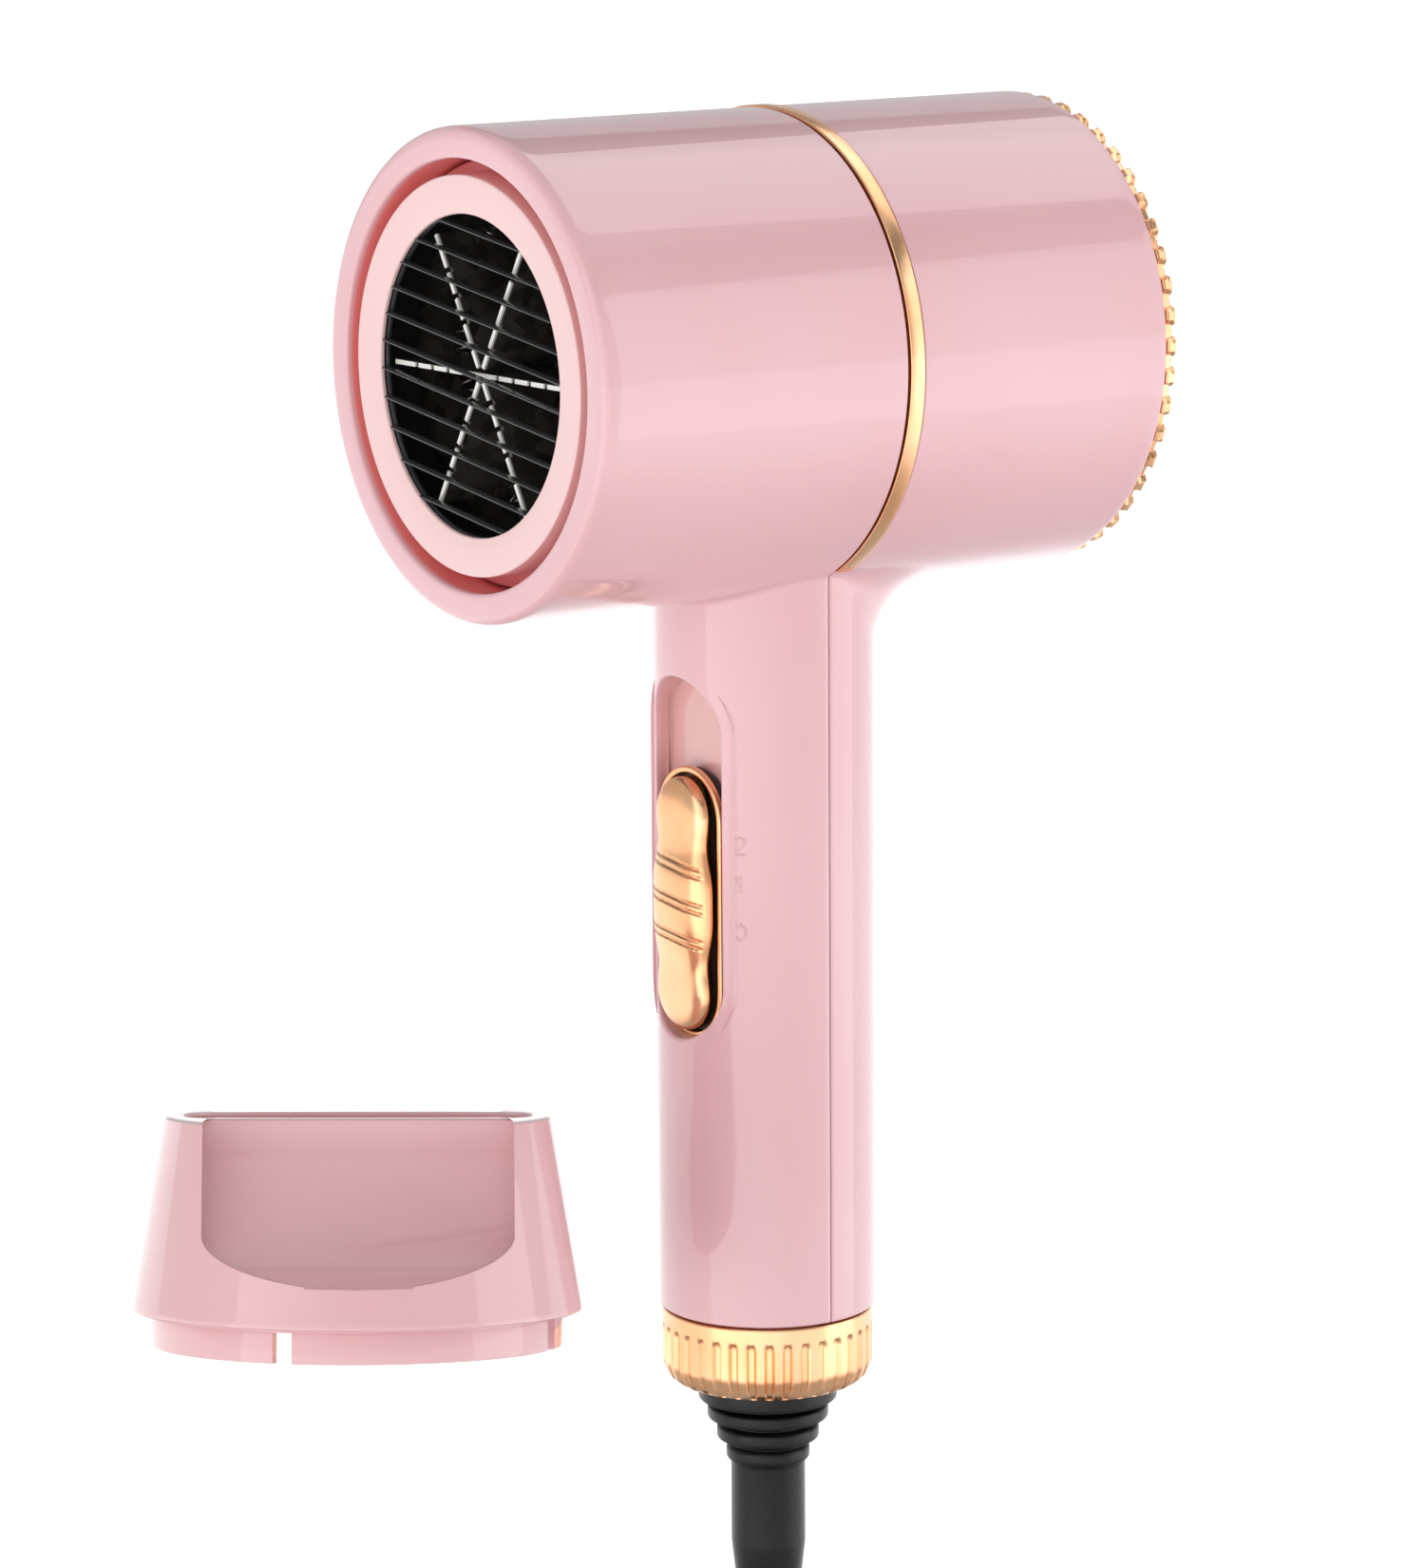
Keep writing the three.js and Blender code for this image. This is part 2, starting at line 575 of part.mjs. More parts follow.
// Rings that go from a circle to a flat rounded slot.
function nozzleHollow() {
  const heights = [-0.5, 3, 6.5, 8, 10, 13, 17, 22, NOZZLE_HEIGHT + 1];
  const count = 28;
  return solid(lofted(heights.map((z) => {
    const wide = hollowWidth(z) - (z > 6 ? 1.2 : 0);
    const deep = Math.max(hollowDepth(z) - (z > 6 ? 0.6 : 0), 4);
    const squareness = THREE.MathUtils.lerp(1, 0.6, THREE.MathUtils.clamp(z / 12, 0, 1));
    return Array.from({ length: count }, (_, k) => {
      const angle = (2 * Math.PI * k) / count;
      const [c, s] = [Math.cos(angle), Math.sin(angle)];
      return [wide * Math.sign(c) * Math.abs(c) ** squareness, deep * Math.sign(s) * Math.abs(s) ** squareness, z];
    });
  })));
}

// One scoop: a round trough along X, ended by a window with a half-ellipse below.
function scoop() {
  const trough = solid(turned(disc(SCOOP_R, -40, 40), 48).rotateZ(Math.PI / 2).translate(0, -SCOOP_Y, SCOOP_Z));
  const half = SCOOP_HALF_WIDTH;
  const window = new THREE.Shape();
  window.absellipse(0, SCOOP_BEND, half, SCOOP_BEND - SCOOP_LOW, Math.PI, 2 * Math.PI);
  window.lineTo(half, 60);
  window.lineTo(-half, 60);
  return trough.intersect(solid(plate(window, 0, -60, 10)));
}

function nozzleBody() {
  const outside = solid(turnedUp([
    [0, 0], [NOZZLE_R, 0], [NOZZLE_TOP_R, NOZZLE_HEIGHT], [0, NOZZLE_HEIGHT],
  ], 48));
  const skirt = solid(turnedUp(tube(skirtBore, SKIRT_R, -SKIRT_DEPTH, 1), 40));
  const slits = SKIRT_SLITS.map((turn) =>
    solid(box([SKIRT_R, 0, -SKIRT_DEPTH / 2 - 0.6], [6, 3, SKIRT_DEPTH]).rotateZ(degrees(turn))));
  const body = cut(outside, scoop(), scoop().rotate([0, 0, 180]));
  const mouth = solid(turnedUp(disc(skirtBore, -SKIRT_DEPTH - 1, 0.2), 40));
  return cut(join(body, cut(skirt, ...slits)), nozzleHollow(), mouth);
}

const nozzle = new THREE.Group();
nozzle.position.set(...NOZZLE_PLACE);
nozzle.rotation.order = 'ZXY';
nozzle.rotation.z = degrees(NOZZLE_TURN);
nozzle.rotation.x = degrees(NOZZLE_TILT);
nozzle.rotation.y = degrees(NOZZLE_ROLL);
dryer.add(nozzle);
add(nozzle, 'concentrator_nozzle', nozzleBody(), pink);

// ---- cord, hank and plug ------------------------------------------------

// Straight out of the boot, then over to the first run of the hank.
const leadPoints = [
  [0, 0, BOOT_END - GAP], [0, 0, -116], [0, 0, -121], [-0.9, -0.8, -127], [-3, -2.7, -133],
  [-5.8, -4.9, -139], [-8.8, -6.4, -145], [-11.4, -6.9, -149.5],
];
add(dryer, 'cord_lead', wire(leadPoints, CORD_R, 10, 14), blackRubber);

const hankMid = (HANK_TOP + HANK_BOTTOM) / 2;
const hankHalfRun = (HANK_TOP - HANK_BOTTOM) / 2;
const hankMargin = CORD_R + GAP;
const foldRadius = HANK_INNER_R + CORD_PITCH + hankMargin;

// The outermost run's outer side: wide at the folds, drawn in at the tie.
function hankSide(z) {
  const share = THREE.MathUtils.smoothstep(Math.abs(z - hankMid) / hankHalfRun, 0, 1);
  return HANK_INNER_R * THREE.MathUtils.lerp(WAIST, 1, share) + CORD_PITCH + hankMargin;
}

function hankOutline() {
  const heights = Array.from({ length: 11 }, (_, i) => HANK_TOP - ((i + 1) * 2 * hankHalfRun) / 12);
  const shape = new THREE.Shape();
  shape.absarc(0, HANK_TOP, foldRadius, 0, Math.PI);
  for (const z of heights) shape.lineTo(-hankSide(z), z);
  shape.absarc(0, HANK_BOTTOM, foldRadius, Math.PI, 2 * Math.PI);
  for (const z of heights.reverse()) shape.lineTo(hankSide(z), z);
  return shape;
}
const hankHalfDepth = CORD_PITCH + hankMargin;
add(dryer, 'cord_hank', plate(hankOutline(), hankHalfDepth, -hankHalfDepth, 6), blackRubber);

// A band round the waist of the hank, with rounded corners.
function tie() {
  const [halfHeight, thick] = [6, 1.4];
  const across = hankSide(hankMid + hankHalfRun / 6) + GAP;
  const depth = hankHalfDepth + GAP;
  const section = (grow) => {
    const [x, y, r] = [across + grow, depth + grow, 0.8 + grow];
    const shape = new THREE.Shape();
    shape.absarc(x - r, y - r, r, 0, Math.PI / 2);
    shape.absarc(r - x, y - r, r, Math.PI / 2, Math.PI);
    shape.absarc(r - x, r - y, r, Math.PI, 1.5 * Math.PI);
    shape.absarc(x - r, r - y, r, 1.5 * Math.PI, 2 * Math.PI);
    return shape;
  };
  const prism = (grow, half) => {
    const options = { depth: 2 * half, bevelEnabled: false, curveSegments: 4 };
    return solid(new THREE.ExtrudeGeometry(section(grow), options).translate(0, 0, hankMid - half));
  };
  return cut(prism(thick, halfHeight), prism(0, halfHeight + 1));
}
add(dryer, 'cord_tie', tie(), blackPlastic);

// The tail drops out of the outer left run, straight down to the plug.
const plug = new THREE.Group();
plug.position.set(-HANK_INNER_R - CORD_PITCH, 0, HANK_BOTTOM);
dryer.add(plug);
const tailStart = -Math.sqrt(foldRadius ** 2 - (HANK_INNER_R + CORD_PITCH - CORD_R) ** 2) - GAP;
const tailEnd = -40;
const plugBack = tailEnd - 16;
const plugFace = plugBack - 31;
add(plug, 'cord_tail', turnedUp(disc(CORD_R, tailEnd, tailStart), 16), blackRubber);
const plugBootOutline = [
  [0, tailEnd - GAP], [4.6, tailEnd - GAP], [5.4, plugBack + 5], [6.2, plugBack + 2], [6.2, plugBack], [0, plugBack],
];
add(plug, 'plug_boot', turnedUp(plugBootOutline, 20), blackRubber);

// The plug's body: flat, narrow at the cord and full width at the face.
function plugBody() {
  const outline = [[-8, plugBack - GAP], [8, plugBack - GAP], [13, -64], [17.6, -72], [17.6, plugFace], [-17.6, plugFace],
    [-17.6, -72], [-13, -64]];
  const body = solid(plate(new THREE.Shape(outline.map((p) => new THREE.Vector2(...p))), 6.8, -6.8));
  const sockets = [-1, 1].map((side) =>
    solid(turnedUp(disc(PIN_R + GAP, plugFace - 1, plugFace + 8), 16)).translate([(side * PIN_SPACING) / 2, 0, 0]));
  return cut(body, ...sockets);
}
add(plug, 'plug_body', plugBody(), blackPlastic);
for (const [number, side] of [[1, -1], [2, 1]]) {
  const pin = turnedUp([
    [0, plugFace - PIN_LENGTH], [PIN_R - 0.8, plugFace - PIN_LENGTH], [PIN_R, plugFace - PIN_LENGTH + 1],
    [PIN_R, plugFace + 8 - GAP], [0, plugFace + 8 - GAP],
  ], 16);
  add(plug, `plug_pin_${number}`, pin.translate((side * PIN_SPACING) / 2, 0, 0), steel);
}

export default dryer;
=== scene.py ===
# %% [markdown]
# # A travel hair dryer, its concentrator nozzle and its lead
#
# The dryer is a T. A short fat barrel holds the fan and the heater, and a round
# handle holds the slide switch. Two glossy pink mouldings meet in a plane across
# the barrel, and a gold band covers that joint. The nozzle is held beside it, and
# the lead leaves the foot of the handle and is folded into a hank.
#
# The frame comes first: it gives every body, its joints and its box, and nothing
# here moves it. The shapes below are laid over it, in the same place and size.

# %% Load the frame
from math import cos, pi, radians, sin

import bmesh
import bpy
import numpy as np
from mathutils import Matrix, Vector


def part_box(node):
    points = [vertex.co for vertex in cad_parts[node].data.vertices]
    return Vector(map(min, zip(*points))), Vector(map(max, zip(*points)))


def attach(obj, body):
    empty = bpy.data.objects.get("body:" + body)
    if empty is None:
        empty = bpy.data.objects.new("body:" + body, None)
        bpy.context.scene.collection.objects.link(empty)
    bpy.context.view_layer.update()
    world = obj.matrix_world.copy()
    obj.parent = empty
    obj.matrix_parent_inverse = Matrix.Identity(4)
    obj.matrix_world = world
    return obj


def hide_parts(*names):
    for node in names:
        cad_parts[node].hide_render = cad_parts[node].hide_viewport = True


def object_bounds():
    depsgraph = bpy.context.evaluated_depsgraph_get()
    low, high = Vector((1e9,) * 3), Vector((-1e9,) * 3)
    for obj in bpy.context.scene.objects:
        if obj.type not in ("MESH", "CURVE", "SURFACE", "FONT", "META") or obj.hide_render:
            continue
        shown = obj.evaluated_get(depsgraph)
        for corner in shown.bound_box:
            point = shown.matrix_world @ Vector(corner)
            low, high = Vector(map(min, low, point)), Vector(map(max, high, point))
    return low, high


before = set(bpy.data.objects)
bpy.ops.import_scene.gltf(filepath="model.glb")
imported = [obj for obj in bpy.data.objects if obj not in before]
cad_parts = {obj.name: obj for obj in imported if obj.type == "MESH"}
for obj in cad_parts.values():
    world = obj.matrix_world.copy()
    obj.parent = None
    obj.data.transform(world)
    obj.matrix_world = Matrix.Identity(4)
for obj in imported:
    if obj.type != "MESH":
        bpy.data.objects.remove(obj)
cad_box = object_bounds()
MM = 0.001


def box_mm(node):
    """The lowest and highest corner of a node, in millimetres."""
    low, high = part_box(node)
    return np.array(low) / MM, np.array(high) / MM


# %% [markdown]
# ## The camera
#
# A product is mostly shown from a little above and far away, so that upright
# edges stay upright. A long lens does that. The camera could be aimed with a
# constraint, but three directions worked out from its bearing, its height and
# its small roll give the same view on every run and nothing to solve.

# %% Camera
CAMERA_PLACE = (0.747, -0.545, 0.203)
CAMERA_BEARING = radians(54.39)
CAMERA_RISE = radians(10.80)
CAMERA_ROLL = radians(-0.418)


def camera_turn(bearing, rise, roll):
    """Columns are the camera's right, up and back directions."""
    back = Vector((sin(bearing) * cos(rise), -cos(bearing) * cos(rise), sin(rise)))
    level = Vector((cos(bearing), sin(bearing), 0))
    above = back.cross(level)
    right = cos(roll) * level + sin(roll) * above
    up = cos(roll) * above - sin(roll) * level
    return Matrix((right, up, back)).transposed()


lens = bpy.data.cameras.new("camera")
lens.sensor_width = 36
lens.lens = 137.65
lens.clip_end = 60
camera = bpy.data.objects.new("camera", lens)
turn = camera_turn(CAMERA_BEARING, CAMERA_RISE, CAMERA_ROLL)
camera.matrix_world = Matrix.Translation(CAMERA_PLACE) @ turn.to_4x4()
bpy.context.scene.collection.objects.link(camera)
bpy.context.scene.camera = camera
print("camera", CAMERA_PLACE, "lens", lens.lens)

# %% [markdown]
# ## Grids of points that become meshes
#
# Almost every piece is a surface with two parameters: round and along. Worked
# out with numpy, a whole surface is one array of points, and its faces follow
# from the array's shape. A `Skin` collects such grids, welds the edges that they
# share, and makes one mesh of them. Modelling by hand in edit mode would give the
# same shapes, but a formula says why a point is where it is.


# %% Grid tools
def smooth(low, high, value):
    """0 below low, 1 above high, and an S-shaped rise of 3s^2 - 2s^3 between."""
    share = np.clip((value - low) / (high - low), 0, 1)
    return share * share * (3 - 2 * share)


def stack(*columns):
    """Coordinates of any shapes that fit together, as points on a last axis."""
    return np.stack(np.broadcast_arrays(*columns), axis=-1).astype(float)


def grid_faces(rows, columns, closed):
    """Four-sided faces between neighbouring rows and columns."""
    across = np.arange(columns if closed else columns - 1)
    start = np.arange(rows - 1)[:, None] * columns
    a = start + across
    b = start + (across + 1) % columns
    return np.stack([a, b, b + columns, a + columns], axis=-1).reshape(-1, 4)


class Skin:
    """Grids of points in millimetres, welded into one mesh."""

    def __init__(self):
        self.points = []
        self.faces = []
        self.count = 0

    def add(self, points, faces):
        flat = points.reshape(-1, 3)
        self.faces.extend((np.asarray(faces) + self.count).tolist())
        self.points.append(flat)
        self.count += len(flat)
        return self

    def grid(self, points, closed=False, keep=None):
        """A grid's faces, or only those that the mask keep names."""
        faces = grid_faces(*points.shape[:2], closed)
        return self.add(points, faces if keep is None else faces[keep.reshape(-1)])

    def lid(self, ring):
        """Closes a ring with triangles to its middle."""
        count = len(ring)
        around = np.arange(count)
        faces = np.stack([around, (around + 1) % count, np.full(count, count)], axis=-1)
        return self.add(np.vstack([ring, ring.mean(axis=0)]), faces)

    def tube(self, rows):
        """A grid closed round its columns, with a lid on its first and last row."""
        return self.grid(rows, closed=True).lid(rows[0]).lid(rows[-1])

    def mesh(self, name, weld=0.004):
        made = bpy.data.meshes.new(name)
        made.from_pydata((np.concatenate(self.points) * MM).tolist(), [], self.faces)
        work = bmesh.new()
        work.from_mesh(made)
        bmesh.ops.remove_doubles(work, verts=work.verts, dist=weld * MM)
        bmesh.ops.dissolve_degenerate(work, edges=work.edges, dist=weld * MM / 4)
        bmesh.ops.recalc_face_normals(work, faces=work.faces)
        work.to_mesh(made)
        work.free()
        return made


def shade(mesh, angle):
    """Smooth shading, with a crisp edge where faces meet at more than the angle."""
    mesh.polygons.foreach_set("use_smooth", np.ones(len(mesh.polygons), bool))
    mesh.set_sharp_from_angle(angle=radians(angle))


def put(name, mesh, finish, body, nodes=(), wall=0, offset=-1, crease=38):
    """Makes the piece, gives it a wall where it is a bare skin, and says what it is."""
    piece = bpy.data.objects.new(name, mesh)
    bpy.context.scene.collection.objects.link(piece)
    if wall:
        solid = piece.modifiers.new("wall", "SOLIDIFY")
        solid.thickness = wall * MM
        solid.offset = offset
        graph = bpy.context.evaluated_depsgraph_get()
        walled = bpy.data.meshes.new_from_object(piece.evaluated_get(graph))
        piece.modifiers.clear()
        piece.data = walled
        walled.name = name
    shade(piece.data, crease)
    piece.data.materials.clear()
    piece.data.materials.append(finish)
    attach(piece, body)
    if nodes:
        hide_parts(*nodes)
    print(f"{name}: {len(piece.data.polygons)} faces on {body}")
    return piece


# %% [markdown]
# ## Shapes that are used again and again
#
# A turned part is an outline of radius and height carried round an axis. A
# stadium, two straight sides and two round ends, is the plan of the switch and
# of every flute. A patch fills the space between two closed curves with rays.


# %% Shared shapes
BARREL_HIGH = box_mm("rear_housing")[1]
FRONT_LOW, FRONT_HIGH = box_mm("front_housing")
BARREL_R = FRONT_HIGH[0]
BARREL_Z = FRONT_HIGH[2] - BARREL_R


def around_barrel(radius, along, angle):
    """Points at a radius and a y, at an angle from straight down towards +X."""
    return stack(radius * np.sin(angle), along, BARREL_Z - radius * np.cos(angle))


def around_handle(radius, height, angle):
    """Points at a radius and a z, at an angle from +X towards +Y."""
    return stack(radius * np.cos(angle), radius * np.sin(angle), height)


def turned(outline, place, count=96):
    """An outline of [radius, along] corners carried once round its axis."""
    corners = np.array(outline, float)
    angle = np.linspace(0, 2 * pi, count, endpoint=False)
    return place(corners[:, :1], corners[:, 1:], angle[None, :])


def eased(outline, radius=0.4, steps=3, closed=False):
    """The outline with every corner replaced by a short parabolic bend."""
    corners = np.array(outline, float)
    made = [] if closed else [corners[:1]]
    first = 0 if closed else 1
    for i in range(first, len(corners) - first):
        before, here = corners[i - 1], corners[i]
        after = corners[(i + 1) % len(corners)]
        back, on = before - here, after - here
        reach = min(radius, 0.45 * np.linalg.norm(back), 0.45 * np.linalg.norm(on))
        start = here + back / np.linalg.norm(back) * reach
        end = here + on / np.linalg.norm(on) * reach
        t = np.linspace(0, 1, steps + 1)[:, None]
        made.append((1 - t) ** 2 * start + 2 * t * (1 - t) * here + t * t * end)
    if not closed:
        made.append(corners[-1:])
    return np.vstack(made)


def stadium(half_width, half_length, middle, ends=24, sides=20):
    """A closed curve of (across, up) points: round top end, side, round foot, side."""
    straight = half_length - half_width
    arc = np.linspace(0, pi, ends, endpoint=False)
    run = np.linspace(1, -1, sides, endpoint=False)
    top = stack(half_width * np.cos(arc), middle + straight + half_width * np.sin(arc))
    left = stack(-half_width, middle + straight * run)
    foot = stack(-half_width * np.cos(arc), middle - straight - half_width * np.sin(arc))
    right = stack(half_width, middle - straight * run)
    return np.vstack([top, left, foot, right])


def rays(inner, outer, shares):
    """Rows of points that go straight from each inner point to its outer one."""
    share = np.asarray(shares)[:, None, None]
    return inner[None] * (1 - share) + outer[None] * share


def bent_path(points, steps):
    """A Catmull-Rom curve through the points, with the same steps between each two."""
    p = np.array(points, float)
    p = np.vstack([2 * p[0] - p[1], p, 2 * p[-1] - p[-2]])
    t = np.linspace(0, 1, steps, endpoint=False)[None, :, None]
    a, b, c, d = (p[i : len(p) - 3 + i, None] for i in range(4))
    rise = 2 * a - 5 * b + 4 * c - d
    curve = 0.5 * (2 * b + (c - a) * t + rise * t**2 + (3 * b - a - 3 * c + d) * t**3)
    return np.vstack([curve.reshape(-1, p.shape[1]), p[-2]])


def swept(path, radius, sides):
    """Rings of points round a path, kept square to it."""
    along = np.gradient(path, axis=0)
    along /= np.linalg.norm(along, axis=1, keepdims=True)
    side = np.cross(along, [0.31, 0.17, 0.93])
    side /= np.linalg.norm(side, axis=1, keepdims=True)
    other = np.cross(along, side)
    angle = np.linspace(0, 2 * pi, sides, endpoint=False)[None, :, None]
    spokes = side[:, None] * np.cos(angle) + other[:, None] * np.sin(angle)
    return path[:, None] + np.reshape(radius, (-1, 1, 1)) * spokes


print("barrel radius", BARREL_R, "axis height", BARREL_Z)

# %% [markdown]
# ## Finishes
#
# A material is a shader and the nodes that vary it. `Signal` lets an expression
# such as `0.3 + 0.1 * grain` add its own Math nodes, and `Finish.node` adds any
# other node. What is the same everywhere is set on the shader itself.


# %% Shader helpers
class Signal:
    """One output of a node, which sums and products can be taken of."""

    def __init__(self, finish, socket):
        self.finish = finish
        self.socket = socket

    def math(self, operation, first, second):
        return self.finish.node("Math", {"operation": operation}, {0: first, 1: second})

    def __add__(self, other):
        return self.math("ADD", self, other)

    def __sub__(self, other):
        return self.math("SUBTRACT", self, other)

    def __rsub__(self, other):
        return self.math("SUBTRACT", other, self)

    def __mul__(self, other):
        return self.math("MULTIPLY", self, other)

    def __truediv__(self, other):
        return self.math("DIVIDE", self, other)

    def __pow__(self, other):
        return self.math("POWER", self, other)

    __radd__ = __add__
    __rmul__ = __mul__

    def rise(self, low, high):
        """0 below low, 1 above high and smooth between."""
        settings = {"interpolation_type": "SMOOTHSTEP"}
        return self.finish.node("MapRange", settings, {0: self, 1: low, 2: high})


class Finish:
    """A material, its shader and the nodes that feed it."""

    def __init__(self, name, constants):
        self.material = bpy.data.materials.new(name)
        self.material.use_nodes = True
        self.tree = self.material.node_tree
        self.shader = self.tree.nodes["Principled BSDF"]
        for socket, value in constants.items():
            self.shader.inputs[socket].default_value = value

    def node(self, kind, settings=None, sockets=None, output=0):
        """Adds a node: its settings, then its sockets' values or links."""
        made = self.tree.nodes.new("ShaderNode" + kind)
        for key, value in (settings or {}).items():
            setattr(made, key, value)
        for key, value in (sockets or {}).items():
            if isinstance(value, Signal):
                self.tree.links.new(value.socket, made.inputs[key])
            else:
                made.inputs[key].default_value = value
        return Signal(self, made.outputs[output])

    def place(self):
        return self.node("TexCoord", output=3)

    def axes(self):
        """The three object coordinates as separate signals."""
        split = self.node("SeparateXYZ", sockets={0: self.place()})
        outputs = split.socket.node.outputs
        return [Signal(self, outputs[i]) for i in range(3)]

    def noise(self, scale, detail=3, where=None):
        sockets = {"Vector": where or self.place(), "Scale": scale, "Detail": detail}
        return self.node("TexNoise", sockets=sockets)

    def stretched(self, scale):
        """Object coordinates, longer or shorter along each axis."""
        return self.node("Mapping", sockets={"Vector": self.place(), "Scale": scale})

    def mix(self, share, first, second):
        settings = {"data_type": "RGBA"}
        return self.node("Mix", settings, {0: share, 6: first, 7: second}, output=2)

    def feed(self, socket, signal):
        self.tree.links.new(signal.socket, self.shader.inputs[socket])
        return self

    def bump(self, height, depth):
        """Relief of the given depth in metres where the height goes from 0 to 1."""
        sockets = {"Height": height, "Distance": depth, "Strength": 1.0}
        return self.feed("Normal", self.node("Bump", sockets=sockets))


# %% [markdown]
# ### Glossy pink and pale pink
#
# The housings are glossy moulded plastic. It is coloured right through and
# polished in the mould, so it reflects like lacquer. A clear coat over a softer
# base gives both the crisp stripes and the deep colour. The surface is not quite
# even: a faint waviness bends the reflections and a slow drift shifts the colour.

# %% Pink finishes
PINK = (0.780, 0.470, 0.503, 1)
PINK_DEEP = (0.755, 0.430, 0.463, 1)
WARM_PINK = (0.770, 0.450, 0.470, 1)
WARM_PINK_DEEP = (0.730, 0.390, 0.410, 1)
# Painted shade: a deep red for the outlet's groove and a salmon for the switch's recess.
GROOVE_SHADE_RED = (0.880, 0.190, 0.170, 1)
RECESS_SHADE_SALMON = (0.740, 0.400, 0.370, 1)


def pink_gloss(name, light, deep):
    """A drifting pink, with painted shade: deep red in the outlet's groove and salmon in the switch's
    recess.
    """
    finish = Finish(name, {"Coat Weight": 1.0, "Coat Roughness": 0.035, "IOR": 1.46})
    drift = finish.noise(18, 2)
    grain = finish.noise(900, 2)
    x, y, z = finish.axes()
    height = z - BARREL_Z * MM
    from_barrel = (x * x + height * height) ** 0.5
    from_handle = (x * x + y * y) ** 0.5
    between = (y + 0.0548).rise(0.0, 0.0008) * (1 - (y + 0.044).rise(0.0, 0.001))
    # painted shade: the lip's bore, which is the outer wall of the outlet's groove, is tinted deep red
    # where it lies in shade
    groove = (1 - from_barrel.rise(0.0327, 0.0331)) * between
    # painted shade: the switch's recess is tinted salmon where it lies in shade
    pocket_shade = (1 - from_handle.rise(0.0158, 0.0168)) * (1 - z.rise(0.050, 0.052))
    body = finish.mix(drift.rise(0.3, 0.7), light, deep)
    with_groove_shade = finish.mix(0.85 * groove, body, GROOVE_SHADE_RED)
    finish.feed("Base Color", finish.mix(0.75 * pocket_shade, with_groove_shade, RECESS_SHADE_SALMON))
    finish.feed("Roughness", 0.34 + 0.08 * grain)
    return finish.bump(0.85 * finish.noise(60, 1) + 0.15 * grain, 0.00003).material


def pink_pale():
    """Heat-resistant plastic: paler and less glossy, with a fine spark-eroded grain, and painted shade
    in the groove and in the bore.
    """
    finish = Finish("pink_pale", {"Coat Weight": 0.35, "Coat Roughness": 0.2})
    x, y, z = finish.axes()
    height = z - BARREL_Z * MM
    radius = (x * x + height * height) ** 0.5
    # painted shade: the collar's walls in the outlet's groove are tinted rose-red where the groove lies
    # in shade
    groove = radius.rise(0.0301, 0.0304)
    grain = finish.noise(1400, 2)
    rose = finish.mix(groove, (0.86, 0.595, 0.585, 1), (0.74, 0.17, 0.18, 1))
    with_groove_shade = finish.mix(0.12 * finish.noise(35, 2), rose, PINK)
    # painted shade: the collar's bore behind the bars is painted near-black, standing in for the shade
    # inside the outlet
    bore = (1 - radius.rise(0.0265, 0.0268)) * (y + 0.0536).rise(0.0, 0.0004)
    finish.feed("Base Color", finish.mix(bore, with_groove_shade, (0.010, 0.009, 0.009, 1)))
    finish.feed("Roughness", 0.36 + 0.12 * grain)
    return finish.bump(grain, 0.00002).material


PINK_GLOSS = pink_gloss("pink_gloss", PINK, PINK_DEEP)
PINK_WARM = pink_gloss("pink_warm", WARM_PINK, WARM_PINK_DEEP)
PINK_PALE = pink_pale()
print("pink finishes ready")

# %% [markdown]
# ### Gold, black and metal
#
# The gold pieces are plastic plated with a rose-gold metal film. Plating follows
# every ripple of the moulding below, so a fine ripple goes into its bump. Rubber
# is matt with a dusty bloom, nylon is satin with short glass fibres, and bare
# metals carry the direction in which they were drawn or rolled.


# %% Gold, black and metal finishes
def gold_plate():
    """Rose gold that drifts in hue, with a coarse ripple and a fine one."""
    finish = Finish("gold_plate", {"Metallic": 1.0, "Coat Weight": 0.25, "Coat Roughness": 0.1})
    cloud = finish.noise(70, 3)
    fine = finish.noise(2200, 2)
    warm = finish.mix(cloud.rise(0.35, 0.65), (0.96, 0.58, 0.33, 1), (0.93, 0.48, 0.24, 1))
    finish.feed("Base Color", warm)
    finish.feed("Roughness", 0.20 + 0.10 * fine)
    return finish.bump(0.8 * finish.noise(260, 2) + 0.2 * fine, 0.00003).material


def dark_plastic(name, shade_of_grey, roughness, grain_scale, depth, mirror=0.5):
    """Black moulding compounds: a grey, a sheen and the grain of the mould."""
    finish = Finish(name, {"Specular IOR Level": mirror})
    grain = finish.noise(grain_scale, 3)
    bloom = finish.noise(45, 3).rise(0.4, 0.75)
    base = (shade_of_grey, shade_of_grey, shade_of_grey * 1.04, 1)
    dusty = tuple(min(1.0, 1.7 * part) for part in base[:3]) + (1,)
    finish.feed("Base Color", finish.mix(0.7 * bloom, base, dusty))
    finish.feed("Roughness", roughness + 0.14 * grain)
    return finish.bump(grain, depth).material


def bright_metal(name, colour, tint, roughness, stretch):
    """Drawn or rolled metal: streaks along one axis, and a tint that comes and goes."""
    finish = Finish(name, {"Metallic": 1.0})
    streak = finish.noise(900, 2, finish.stretched(stretch))
    finish.feed("Base Color", finish.mix(finish.noise(120, 3).rise(0.35, 0.7), colour, tint))
    finish.feed("Roughness", roughness + 0.18 * streak)
    return finish.bump(streak, 0.00001).material


def light_plastic(name, colour, tint, roughness, coat):
    """Pale or coloured moulding compounds: a drift between two colours and a fine grain."""
    finish = Finish(name, {"Coat Weight": coat, "Coat Roughness": 0.12})
    grain = finish.noise(1100, 2)
    finish.feed("Base Color", finish.mix(finish.noise(90, 3).rise(0.35, 0.7), colour, tint))
    finish.feed("Roughness", roughness + 0.1 * grain)
    return finish.bump(grain, 0.00002).material


